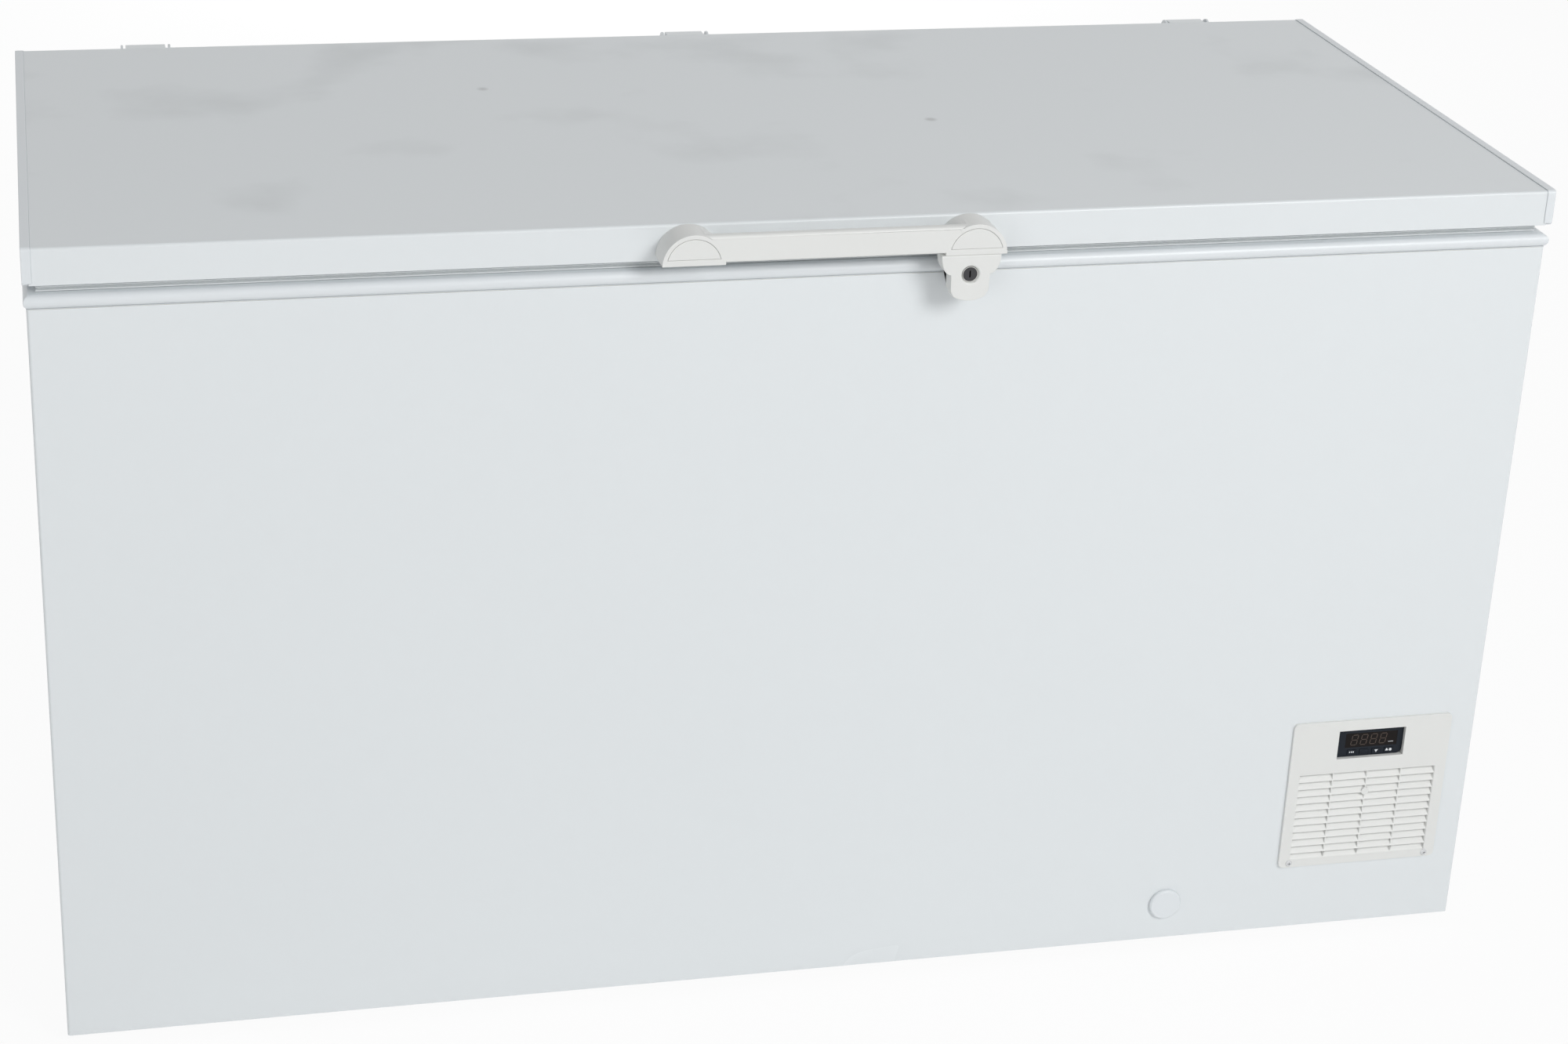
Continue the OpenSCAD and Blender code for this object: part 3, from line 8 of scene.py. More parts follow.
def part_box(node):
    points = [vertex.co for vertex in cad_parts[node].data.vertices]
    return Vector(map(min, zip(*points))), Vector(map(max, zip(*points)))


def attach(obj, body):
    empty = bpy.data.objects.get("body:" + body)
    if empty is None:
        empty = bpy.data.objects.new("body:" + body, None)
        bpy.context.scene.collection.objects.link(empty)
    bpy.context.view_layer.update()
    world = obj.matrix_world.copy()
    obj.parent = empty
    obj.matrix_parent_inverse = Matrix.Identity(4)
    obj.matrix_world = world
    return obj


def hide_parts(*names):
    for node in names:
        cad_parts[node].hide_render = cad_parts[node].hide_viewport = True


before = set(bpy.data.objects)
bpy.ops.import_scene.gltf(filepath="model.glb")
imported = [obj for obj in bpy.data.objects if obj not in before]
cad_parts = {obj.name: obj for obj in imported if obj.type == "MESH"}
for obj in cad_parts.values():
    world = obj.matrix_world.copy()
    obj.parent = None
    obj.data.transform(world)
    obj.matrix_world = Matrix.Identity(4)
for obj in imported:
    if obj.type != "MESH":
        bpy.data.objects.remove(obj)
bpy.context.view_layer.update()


# Camera. A long lens stands well back, a little to the left and above the lid,
# with the slight tilt of a camera held by hand.
azimuth = math.radians(-13.047)
elevation = math.radians(22.870)
roll = math.radians(2.081)
backward = Vector((
    math.sin(azimuth) * math.cos(elevation),
    -math.cos(azimuth) * math.cos(elevation),
    math.sin(elevation),
))
level = (-backward).cross(Vector((0, 0, 1))).normalized()
upright = level.cross(-backward)
across = level * math.cos(roll) + upright * math.sin(roll)
upward = upright * math.cos(roll) - level * math.sin(roll)
lens = bpy.data.cameras.new("camera")
lens.lens = 69.81
lens.sensor_width = 36
lens.shift_x = 0.0464
lens.shift_y = -0.0476
camera = bpy.data.objects.new("camera", lens)
bpy.context.scene.collection.objects.link(camera)
camera.matrix_world = Matrix.Translation((-0.72057, -2.97266, 1.76556)) @ Matrix(
    (across, upward, backward)
).transposed().to_4x4()
bpy.context.scene.camera = camera


# Cabinet shell. Steel sheet, folded round the body and powder coated cool white.
# The coat has a fine orange peel and faint dull patches where it has been wiped.
def start_group(name, inputs, outputs):
    """Opens a shader node group with its named sockets."""
    group = bpy.data.node_groups.new(name, "ShaderNodeTree")
    for label, kind, value in inputs:
        socket = group.interface.new_socket(name=label, in_out="INPUT", socket_type=kind)
        socket.default_value = value
    for label, kind in outputs:
        group.interface.new_socket(name=label, in_out="OUTPUT", socket_type=kind)
    return group, group.nodes.new("NodeGroupInput"), group.nodes.new("NodeGroupOutput")


def sum_of(tree, operation, first, second):
    """One Math node; a number or a socket goes into each side."""
    node = tree.nodes.new("ShaderNodeMath")
    node.operation = operation
    for socket, value in zip(node.inputs, (first, second)):
        if isinstance(value, (int, float)):
            socket.default_value = value
        else:
            tree.links.new(value, socket)
    return node.outputs[0]


def blend_of(tree, factor, first, second, kind="MIX"):
    """One colour Mix node; colours or sockets go in."""
    node = tree.nodes.new("ShaderNodeMix")
    node.data_type = "RGBA"
    node.blend_type = kind
    for index, value in ((0, factor), (6, first), (7, second)):
        if isinstance(value, (int, float)):
            node.inputs[index].default_value = value
        elif isinstance(value, tuple):
            node.inputs[index].default_value = (*value, 1)
        else:
            tree.links.new(value, node.inputs[index])
    return node.outputs[2]


def noise_of(tree, vector, scale, detail=2.0):
    """One Noise node's value."""
    node = tree.nodes.new("ShaderNodeTexNoise")
    node.inputs["Detail"].default_value = detail
    tree.links.new(vector, node.inputs["Vector"])
    if isinstance(scale, (int, float)):
        node.inputs["Scale"].default_value = scale
    else:
        tree.links.new(scale, node.inputs["Scale"])
    return node.outputs["Fac"]


def surface_detail():
    """Fine grain for the bump, and slow patches that shift the tone and the gloss."""
    tree, entry, leave = start_group(
        "surface_detail",
        (
            ("Vector", "NodeSocketVector", (0, 0, 0)),
            ("Colour", "NodeSocketColor", (1, 1, 1, 1)),
            ("Roughness", "NodeSocketFloat", 0.4),
            ("Grain scale", "NodeSocketFloat", 600),
            ("Patch scale", "NodeSocketFloat", 4),
            ("Patch depth", "NodeSocketFloat", 0.04),
        ),
        (("Colour", "NodeSocketColor"), ("Roughness", "NodeSocketFloat"), ("Height", "NodeSocketFloat")),
    )
    place = entry.outputs["Vector"]
    grain = noise_of(tree, place, entry.outputs["Grain scale"])
    patch = noise_of(tree, place, entry.outputs["Patch scale"], 4.0)
    lean = sum_of(tree, "SUBTRACT", patch, 0.5)
    swing = sum_of(tree, "MULTIPLY", lean, entry.outputs["Patch depth"])
    tone = sum_of(tree, "ADD", 1.0, sum_of(tree, "MULTIPLY", swing, 2.0))
    shade = tree.nodes.new("ShaderNodeVectorMath")
    shade.operation = "SCALE"
    tree.links.new(entry.outputs["Colour"], shade.inputs[0])
    tree.links.new(tone, shade.inputs["Scale"])
    gloss = sum_of(tree, "ADD", entry.outputs["Roughness"], sum_of(tree, "MULTIPLY", swing, 4.0))
    tree.links.new(shade.outputs[0], leave.inputs["Colour"])
    tree.links.new(gloss, leave.inputs["Roughness"])
    tree.links.new(grain, leave.inputs["Height"])
    return tree


detail_group = surface_detail()


def finish_of(name, colour, roughness, grain=600, relief=0.05, patch=4, depth=0.03, metallic=0.0, stretch=(1, 1, 1)):
    """A material with the surface detail wired in. It returns the material and its parts."""
    material = bpy.data.materials.new(name)
    material.use_nodes = True
    tree = material.node_tree
    shader = tree.nodes["Principled BSDF"]
    shader.inputs["Metallic"].default_value = metallic
    place = tree.nodes.new("ShaderNodeTexCoord")
    turn = tree.nodes.new("ShaderNodeMapping")
    turn.inputs["Scale"].default_value = stretch
    detail = tree.nodes.new("ShaderNodeGroup")
    detail.node_tree = detail_group
    detail.inputs["Colour"].default_value = (*colour, 1)
    detail.inputs["Roughness"].default_value = roughness
    detail.inputs["Grain scale"].default_value = grain
    detail.inputs["Patch scale"].default_value = patch
    detail.inputs["Patch depth"].default_value = depth
    bump = tree.nodes.new("ShaderNodeBump")
    bump.inputs["Strength"].default_value = relief
    bump.inputs["Distance"].default_value = 0.0004
    tree.links.new(place.outputs["Object"], turn.inputs["Vector"])
    tree.links.new(turn.outputs[0], detail.inputs["Vector"])
    tree.links.new(detail.outputs["Colour"], shader.inputs["Base Color"])
    tree.links.new(detail.outputs["Roughness"], shader.inputs["Roughness"])
    tree.links.new(detail.outputs["Height"], bump.inputs["Height"])
    tree.links.new(bump.outputs[0], shader.inputs["Normal"])
    return material, {"tree": tree, "shader": shader, "place": turn.outputs[0], "detail": detail, "bump": bump}


def dress(node, material):
    """Gives a node of the frame its finish."""
    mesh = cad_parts[node].data
    mesh.materials.clear()
    mesh.materials.append(material)


def settle(bm, name, material, body, crease=38, clean=True):
    """Puts a modelled piece on an object at the origin and says what it moves with."""
    if clean:
        bmesh.ops.remove_doubles(bm, verts=bm.verts, dist=2e-6)
        bmesh.ops.recalc_face_normals(bm, faces=bm.faces)
    mesh = bpy.data.meshes.new(name)
    bm.to_mesh(mesh)
    bm.free()
    mesh.polygons.foreach_set("use_smooth", [True] * len(mesh.polygons))
    mesh.set_sharp_from_angle(angle=math.radians(crease))
    mesh.materials.append(material)
    piece = bpy.data.objects.new(name, mesh)
    bpy.context.scene.collection.objects.link(piece)
    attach(piece, body)
    return piece


def eased(node, name, width, material, body, segments=2, corner=40, crease=38):
    """A node's shape with its sharp edges eased by a small round, in millimetres."""
    bm = bmesh.new()
    bm.from_mesh(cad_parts[node].data)
    bmesh.ops.remove_doubles(bm, verts=bm.verts, dist=2e-6)
    bmesh.ops.dissolve_limit(bm, angle_limit=math.radians(0.4), verts=bm.verts, edges=bm.edges)
    if width:
        sharp = [e for e in bm.edges if e.is_manifold and e.calc_face_angle(0) > math.radians(corner)]
        bmesh.ops.bevel(
            bm, geom=sharp, offset=width / 1000, offset_type="OFFSET", segments=segments,
            profile=0.5, affect="EDGES", clamp_overlap=False, material=-1,
        )
    piece = settle(bm, name, material, body, crease, clean=False)
    weights = piece.modifiers.new("even_faces", "WEIGHTED_NORMAL")
    weights.keep_sharp = True
    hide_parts(node)
    return piece


body_paint, _ = finish_of("body_paint", (0.79, 0.822, 0.835), 0.27, grain=420, relief=0.035, patch=0.9, depth=0.006)
eased("outer_wrapper", "cabinet_shell", 0.25, body_paint, "cabinet")
eased("rear_panel", "cabinet_back", 0.25, body_paint, "cabinet")


# Bottom pan, compressor tray and bulkhead. Hot-dip galvanised sheet, cut and folded,
# with the leaf-like spangle of the zinc bath still on it.
def add_spangle(parts, scale, depth):
    """Crystals of zinc: each cell of the pattern takes a tone of its own."""
    tree = parts["tree"]
    cells = tree.nodes.new("ShaderNodeTexVoronoi")
    cells.inputs["Scale"].default_value = scale
    tree.links.new(parts["place"], cells.inputs["Vector"])
    tone = sum_of(tree, "ADD", 1 - depth, sum_of(tree, "MULTIPLY", cells.outputs["Color"], depth))
    shade = blend_of(tree, 1.0, parts["detail"].outputs["Colour"], tone, "MULTIPLY")
    tree.links.new(shade, parts["shader"].inputs["Base Color"])


galvanised, zinc_parts = finish_of(
    "galvanised_sheet", (0.62, 0.64, 0.65), 0.42, grain=900, relief=0.05, patch=9, depth=0.06, metallic=1.0
)
add_spangle(zinc_parts, 95, 0.3)
for node in ("base_pan", "bay_bulkhead", "compressor_tray", "condenser_brackets"):
    dress(node, galvanised)


# Insulation. Polyurethane foam, poured between the shells of the body and the lid,
# where it sets in fine cream-coloured cells.
foam, foam_parts = finish_of("poured_foam", (0.74, 0.60, 0.30), 0.9, grain=900, relief=0.5, patch=14, depth=0.12)
cells = foam_parts["tree"].nodes.new("ShaderNodeTexVoronoi")
cells.inputs["Scale"].default_value = 420
foam_parts["tree"].links.new(foam_parts["place"], cells.inputs["Vector"])
foam_parts["tree"].links.new(cells.outputs["Distance"], foam_parts["bump"].inputs["Height"])
dress("cabinet_foam", foam)


# Tub. Aluminium sheet with a rolled stucco emboss, which hides knocks,
# folded over the step that makes room for the compressor.
def add_stucco(parts, scale, relief):
    """Pebbles rolled into sheet metal."""
    tree = parts["tree"]
    pebbles = tree.nodes.new("ShaderNodeTexVoronoi")
    pebbles.feature = "SMOOTH_F1"
    pebbles.inputs["Scale"].default_value = scale
    tree.links.new(parts["place"], pebbles.inputs["Vector"])
    tree.links.new(pebbles.outputs["Distance"], parts["bump"].inputs["Height"])
    parts["bump"].inputs["Strength"].default_value = relief


stucco, stucco_parts = finish_of(
    "stucco_aluminium", (0.80, 0.81, 0.82), 0.34, patch=5, depth=0.04, metallic=1.0
)
add_stucco(stucco_parts, 190, 0.7)
eased("inner_liner", "tub", 0.3, stucco, "cabinet")


# Refrigerant lines. Aluminium tube is taped round the tub as the evaporator, and
# drawn copper, dulled by the torch near its brazed ends, joins the rest.
soft_aluminium, _ = finish_of(
    "drawn_aluminium", (0.72, 0.73, 0.74), 0.36, grain=1500, relief=0.08, patch=20, depth=0.06, metallic=1.0
)
eased("evaporator_tube", "evaporator_coil", 0, soft_aluminium, "cabinet", crease=60)
copper, copper_parts = finish_of(
    "drawn_copper", (0.78, 0.40, 0.25), 0.30, grain=1400, relief=0.08, patch=26, depth=0.16, metallic=1.0
)
tarnish = noise_of(copper_parts["tree"], copper_parts["place"], 38, 5.0)
dull = sum_of(copper_parts["tree"], "MULTIPLY", tarnish, 0.55)
brown = blend_of(copper_parts["tree"], dull, copper_parts["detail"].outputs["Colour"], (0.30, 0.13, 0.07))
copper_parts["tree"].links.new(brown, copper_parts["shader"].inputs["Base Color"])
for node, name in (
    ("suction_tube", "suction_line"),
    ("discharge_tube", "discharge_line"),
    ("capillary_tube", "capillary_line"),
    ("filter_drier", "drier"),
):
    eased(node, name, 0, copper, "cabinet", crease=50)


# Top rim. A white plastic extrusion that clips over the shell and the tub all round,
# and carries the ledge that the basket slides on.
rim_plastic, _ = finish_of("rim_plastic", (0.78, 0.812, 0.832), 0.36, grain=1300, relief=0.04, patch=3, depth=0.02)
eased("top_rim", "cabinet_rim", 0.4, rim_plastic, "cabinet", segments=3)


# Sealing bead. White sealant, run in a line under the rim's rounded edge, which
# closes the joint between the rim and the painted shell.
def squared_ring(bm, low, high, section):
    """A section, as insets and heights, carried round the rectangle between two corners."""
    loops = []
    for side_x, side_y in ((0, 0), (1, 0), (1, 1), (0, 1)):
        points = [
            bm.verts.new((
                high.x - inset if side_x else low.x + inset,
                high.y - inset if side_y else low.y + inset,
                height,
            ))
            for inset, height in section
        ]
        loops.append([bm.edges.new(pair) for pair in zip(points, points[1:] + points[:1])])
    for first, second in zip(loops, loops[1:] + loops[:1]):
        bmesh.ops.bridge_loops(bm, edges=first + second)


sealant, _ = finish_of("white_sealant", (0.66, 0.685, 0.70), 0.5, grain=900, relief=0.12, patch=8, depth=0.06)
rim_low, rim_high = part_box("top_rim")
shell_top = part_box("outer_wrapper")[1].z
bm = bmesh.new()
bead_section = ((0.0032, 0.0001), (0.0055, 0.0001), (0.0055, 0.0003), (0.0042, 0.0005), (0.0032, 0.0009))
squared_ring(bm, rim_low, rim_high, [(inset, shell_top + rise) for inset, rise in bead_section])
settle(bm, "rim_bead", sealant, "cabinet")


# Glide feet. Black moulded pads, screwed under the corners.
black_plastic, _ = finish_of("black_plastic", (0.022, 0.024, 0.027), 0.48, grain=1600, relief=0.18, patch=12, depth=0.1)
eased("glide_feet", "feet", 0.5, black_plastic, "cabinet")


# Compressor. Two pressed steel shells, welded round the middle and enamelled black,
# with the laminated motor inside. It stands on rubber grommets held by plated bolts.
black_enamel, _ = finish_of("black_enamel", (0.018, 0.018, 0.02), 0.24, grain=330, relief=0.14, patch=16, depth=0.12)
black_enamel.node_tree.nodes["Principled BSDF"].inputs["Coat Weight"].default_value = 0.3
eased("compressor_lower_shell", "compressor_bottom", 0.6, black_enamel, "cabinet", crease=30)
eased("compressor_upper_shell", "compressor_top", 0.6, black_enamel, "cabinet", crease=30)
laminations, lamination_parts = finish_of(
    "stacked_laminations", (0.25, 0.23, 0.21), 0.5, grain=700, relief=0.3, patch=20, depth=0.1, metallic=1.0
)
sheets = lamination_parts["tree"].nodes.new("ShaderNodeTexWave")
sheets.bands_direction = "Z"
sheets.inputs["Scale"].default_value = 320
lamination_parts["tree"].links.new(lamination_parts["place"], sheets.inputs["Vector"])
lamination_parts["tree"].links.new(sheets.outputs["Fac"], lamination_parts["bump"].inputs["Height"])
dress("compressor_pump", laminations)
black_rubber, _ = finish_of("black_rubber", (0.028, 0.028, 0.028), 0.72, grain=900, relief=0.2, patch=18, depth=0.15)
eased("compressor_grommets", "grommets", 0.3, black_rubber, "cabinet")
plated, plated_parts = finish_of(
    "zinc_plate", (0.66, 0.67, 0.68), 0.30, grain=1800, relief=0.05, patch=40, depth=0.08, metallic=1.0
)
dress("compressor_bolts", plated)
eased("relay_cover", "relay_box", 0.5, black_plastic, "cabinet")


# Condenser. Steel tube bent to and fro with wires spot-welded across it, dipped in
# black enamel and held between two folded brackets.
eased("condenser_tube", "condenser_coil", 0, black_enamel, "cabinet", crease=60)
eased("condenser_wires", "condenser_fins", 0, black_enamel, "cabinet", crease=60)


# Condenser fan. A moulded grey-white impeller on a small shaded-pole motor,
# mounted in a black plastic shroud.
eased("fan_shroud", "fan_housing", 0.5, black_plastic, "cabinet")
dark_steel, _ = finish_of(
    "dark_steel", (0.17, 0.17, 0.18), 0.38, grain=1500, relief=0.06, patch=30, depth=0.1, metallic=1.0
)
eased("fan_motor", "motor", 0.4, dark_steel, "cabinet")
fan_plastic, _ = finish_of("fan_plastic", (0.70, 0.71, 0.71), 0.44, grain=1200, relief=0.06, patch=10, depth=0.04)
eased("fan_blade", "fan_wheel", 0.3, fan_plastic, "fan", crease=30)


# Front grille. One moulding in warm white plastic: rows of louvres under a window
# for the controller, set in the shell and held by two screws at its foot.
white_plastic, _ = finish_of("white_plastic", (0.79, 0.795, 0.775), 0.38, grain=1500, relief=0.07, patch=6, depth=0.02)
eased("front_grille", "grille", 0, white_plastic, "cabinet", crease=30)


# Controller. A black snap-in case with a smoked window, in which the unlit segments
# of a four-figure display just show, over four soft keys with printed marks.
window_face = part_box("display_window")[0].y
key_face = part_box("button_set")[0].y
ink_depth = 0.00006


def printed(bm, x, z, width, height, face, lean=0.0, corners=4):
    """A patch of ink on a face that looks to the front; lean slants it."""
    made = bmesh.ops.create_circle(bm, cap_ends=True, segments=corners, radius=math.sqrt(0.5))
    verts = made["verts"]
    if corners == 4:
        bmesh.ops.rotate(bm, verts=verts, cent=(0, 0, 0), matrix=Matrix.Rotation(math.pi / 4, 3, "Z"))
    bmesh.ops.scale(bm, verts=verts, vec=(width, height, 1))
    for vert in verts:
        vert.co = Vector((x + vert.co.x + lean * vert.co.y, face, z + vert.co.y))
    faces = {f for v in verts for f in v.link_faces}
    grown = bmesh.ops.extrude_face_region(bm, geom=list(faces))
    front = [g for g in grown["geom"] if isinstance(g, bmesh.types.BMVert)]
    bmesh.ops.translate(bm, verts=front, vec=(0, -ink_depth, 0))
    return verts + front


def figure_eight(bm, x, z, width, height, bar, face, lean):
    """The seven bars of one display figure."""
    half = height / 2
    for level_z in (-half, 0, half):
        printed(bm, x + lean * level_z, z + level_z, width - 1.3 * bar, bar, face, lean)
    for side in (-1, 1):
        for middle in (-half / 2, half / 2):
            place = x + side * width / 2 + lean * middle
            printed(bm, place, z + middle, bar, half - 1.3 * bar, face, lean)


case_plastic, case_parts = finish_of(
    "case_plastic", (0.008, 0.012, 0.019), 0.36, grain=2200, relief=0.1, patch=20, depth=0.1
)
case_parts["shader"].inputs["Specular IOR Level"].default_value = 0.2
eased("controller_case", "controller_body", 0.3, case_plastic, "cabinet")
smoked, smoked_parts = finish_of("smoked_window", (0.007, 0.0045, 0.004), 0.12, grain=200, relief=0.004, patch=30, depth=0.1)
smoked_parts["shader"].inputs["Specular IOR Level"].default_value = 0.15
eased("display_window", "display", 0.1, smoked, "cabinet")
unlit, _ = finish_of("unlit_segments", (0.060, 0.040, 0.030), 0.5, grain=900, relief=0.02, patch=60, depth=0.2)
bm = bmesh.new()
for index in range(4):
    figure_eight(bm, 0.6112 + 0.0109 * index, 0.2368, 0.0066, 0.0118, 0.0009, window_face, 0.16)
settle(bm, "display_segments", unlit, "cabinet")
key_ink, _ = finish_of("key_ink", (0.72, 0.74, 0.76), 0.6, grain=1500, relief=0.05, patch=60, depth=0.12)
bm = bmesh.new()
printed(bm, 0.6531, 0.2322, 0.0058, 0.0006, window_face)
settle(bm, "display_print", key_ink, "cabinet")
key_marks = (
    ("button_set", "set_button", "set_key", "set_mark"),
    ("button_blank", "blank_button", "spare_key", ""),
    ("button_down", "down_button", "down_key", "down_mark"),
    ("button_up", "up_button", "up_key", "up_mark"),
)
for node, body, key, mark in key_marks:
    eased(node, key, 0.4, case_plastic, body, segments=3)
    low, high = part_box(node)
    middle = (low + high) / 2
    bm = bmesh.new()
    if mark == "set_mark":
        for offset in (-0.0021, 0, 0.0021):
            printed(bm, middle.x + offset, middle.z, 0.0012, 0.0017, key_face)
    elif mark:
        way = 1 if mark == "up_mark" else -1
        shift = 0.0019 if mark == "up_mark" else 0
        verts = printed(bm, 0, 0, 0.0031, 0.0031, key_face, corners=3)
        turn = Matrix.Scale(way, 3, (0, 0, 1))
        bmesh.ops.transform(bm, matrix=turn.to_4x4(), verts=verts)
        bmesh.ops.translate(bm, verts=verts, vec=(middle.x - shift, 0, middle.z))
        if mark == "up_mark":
            printed(bm, middle.x + 0.0022, middle.z, 0.0023, 0.0023, key_face, corners=16)
    if mark:
        settle(bm, mark, key_ink, body)
    else:
        bm.free()
board, board_parts = finish_of("solder_mask", (0.015, 0.11, 0.04), 0.32, grain=1200, relief=0.08, patch=30, depth=0.1)
tracks = board_parts["tree"].nodes.new("ShaderNodeTexBrick")
tracks.inputs["Scale"].default_value = 260
tracks.inputs["Mortar Size"].default_value = 0.06
tracks.inputs["Color1"].default_value = (0.015, 0.11, 0.04, 1)
tracks.inputs["Color2"].default_value = (0.012, 0.09, 0.035, 1)
tracks.inputs["Mortar"].default_value = (0.04, 0.24, 0.09, 1)
board_parts["tree"].links.new(board_parts["place"], tracks.inputs["Vector"])
board_parts["tree"].links.new(tracks.outputs["Color"], board_parts["shader"].inputs["Base Color"])
dress("control_board", board)


# Probe cover and drain. White mouldings: a clip-on cover over the sensor in the tub,
# a spout through the foam, a screw cap on the front and a rubber stopper inside.
for node, name in (("temperature_probe", "probe_cover"), ("drain_tube", "drain_spout")):
    eased(node, name, 0.4, white_plastic, "cabinet")
eased("drain_cap", "front_drain_cap", 0.6, rim_plastic, "drain_plug", segments=3)
eased("drain_stopper", "tub_stopper", 0.6, black_rubber, "floor_stopper")


# Back of the compressor bay. A perforated galvanised cover, the junction box inside
# it and the gland that the mains cord is clamped in.
eased("rear_bay_cover", "bay_cover", 0.2, galvanised, "cabinet")
eased("terminal_box", "junction_box", 0.8, black_plastic, "cabinet")
eased("cord_gland", "gland", 0.3, black_plastic, "cabinet")


# Hinges and the lock's keeper. Painted folded plates on the back, a steel pin and a
# counterbalance spring in each, and a plated catch behind the front of the rim.
eased("lock_strike", "keeper", 0.4, plated, "cabinet")
eased("hinge_bases", "hinge_plates", 0.4, body_paint, "cabinet")
eased("hinge_pins", "hinge_axles", 0.3, plated, "cabinet")
eased("hinge_springs", "balance_springs", 0, dark_steel, "cabinet", crease=70)


# Screws. Plated pan heads with a cross recess, each driven square to the sheet.
def islands(bm):
    """The separate solids of a mesh, as lists of vertices."""
    left = set(bm.verts)
    found = []
    while left:
        reach = [left.pop()]
        group = []
        while reach:
            vert = reach.pop()
            group.append(vert)
            for edge in vert.link_edges:
                other = edge.other_vert(vert)
                if other in left:
                    left.remove(other)
                    reach.append(other)
        found.append(group)
    return found


def screw_shape(head_r, head_h, shank_r, length):
    """One screw, its head to the front (-Y) and the seat of the head at zero."""
    bm = bmesh.new()
    profile = (
        (0, -head_h), (0.62 * head_r, -head_h), (0.84 * head_r, -0.82 * head_h), (head_r, -0.35 * head_h),
        (head_r, 0), (shank_r, 0), (shank_r, length - shank_r), (0, length),
    )
    verts = [bm.verts.new((x, y, 0)) for x, y in profile]
    edges = [bm.edges.new(pair) for pair in zip(verts, verts[1:])]
    bmesh.ops.spin(
        bm, geom=verts + edges, cent=(0, 0, 0), axis=(0, 1, 0), angle=math.tau, steps=20, use_merge=True
    )
    bmesh.ops.remove_doubles(bm, verts=bm.verts, dist=1e-6)
    top = [f for f in bm.faces if all(abs(v.co.y + head_h) < 1e-6 for v in f.verts)]
    bmesh.ops.dissolve_faces(bm, faces=top)
    slot_w = 0.09 * head_r
    arm = 0.5 * head_r
    for axis in (Vector((1, 0, 0)), Vector((0, 0, 1))):
        for offset in (-arm, -slot_w, slot_w, arm):
            flat = [f for f in bm.faces if all(abs(v.co.y + head_h) < 1e-6 for v in f.verts)]
            reach = set(flat) | {e for f in flat for e in f.edges} | {v for f in flat for v in f.verts}
            bmesh.ops.bisect_plane(bm, geom=list(reach), dist=1e-7, plane_co=axis * offset, plane_no=axis)
    flat = [f for f in bm.faces if all(abs(v.co.y + head_h) < 1e-6 for v in f.verts)]
    cross = []
    for face in flat:
        spot = face.calc_center_median()
        across_x, across_z = abs(spot.x), abs(spot.z)
        if min(across_x, across_z) < slot_w and max(across_x, across_z) < arm:
            cross.append(face)
    sunk = bmesh.ops.extrude_face_region(bm, geom=cross)
    low = [g for g in sunk["geom"] if isinstance(g, bmesh.types.BMVert)]
    bmesh.ops.translate(bm, verts=low, vec=(0, 0.75 * head_h, 0))
    bmesh.ops.scale(bm, verts=low, vec=(0.7, 1, 0.7))
    bmesh.ops.delete(bm, geom=cross, context="FACES")
    bmesh.ops.recalc_face_normals(bm, faces=bm.faces)
    shape = bpy.data.meshes.new("screw_shape")
    bm.to_mesh(shape)
    bm.free()
    return shape


def driven_screws(node, name, body):
    """A screw in the place of each one in the node."""
    source = bmesh.new()
    source.from_mesh(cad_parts[node].data)
    bmesh.ops.remove_doubles(source, verts=source.verts, dist=2e-6)
    bm = bmesh.new()
    for group in islands(source):
        low = Vector([min(v.co[i] for v in group) for i in range(3)])
        high = Vector([max(v.co[i] for v in group) for i in range(3)])
        middle = (low + high) / 2
        head_r = (high.x - low.x) / 2
        rim = [v.co.y for v in group if math.hypot(v.co.x - middle.x, v.co.z - middle.z) > 0.9 * head_r]
        forward = sum(rim) / len(rim) < middle.y
        head_h = max(rim) - min(rim)
        shank = [math.hypot(v.co.x - middle.x, v.co.z - middle.z) for v in group]
        shank_r = min(r for r in shank if r > 0.3 * head_r)
        length = high.y - low.y - head_h
        shape = screw_shape(head_r, head_h, shank_r, length)
        seat = Matrix.Translation((middle.x, low.y + head_h if forward else high.y - head_h, middle.z))
        if not forward:
            seat = seat @ Matrix.Rotation(math.pi, 4, "Z")
        seat = seat @ Matrix.Rotation(math.radians(19 * len(bm.verts) % 90), 4, "Y")
        known = len(bm.verts)
        bm.from_mesh(shape)
        bm.verts.ensure_lookup_table()
        bmesh.ops.transform(bm, matrix=seat, verts=bm.verts[known:])
        bpy.data.meshes.remove(shape)
    source.free()
    piece = settle(bm, name, plated, body, crease=30, clean=False)
    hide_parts(node)


driven_screws("cabinet_screws", "body_screws", "cabinet")


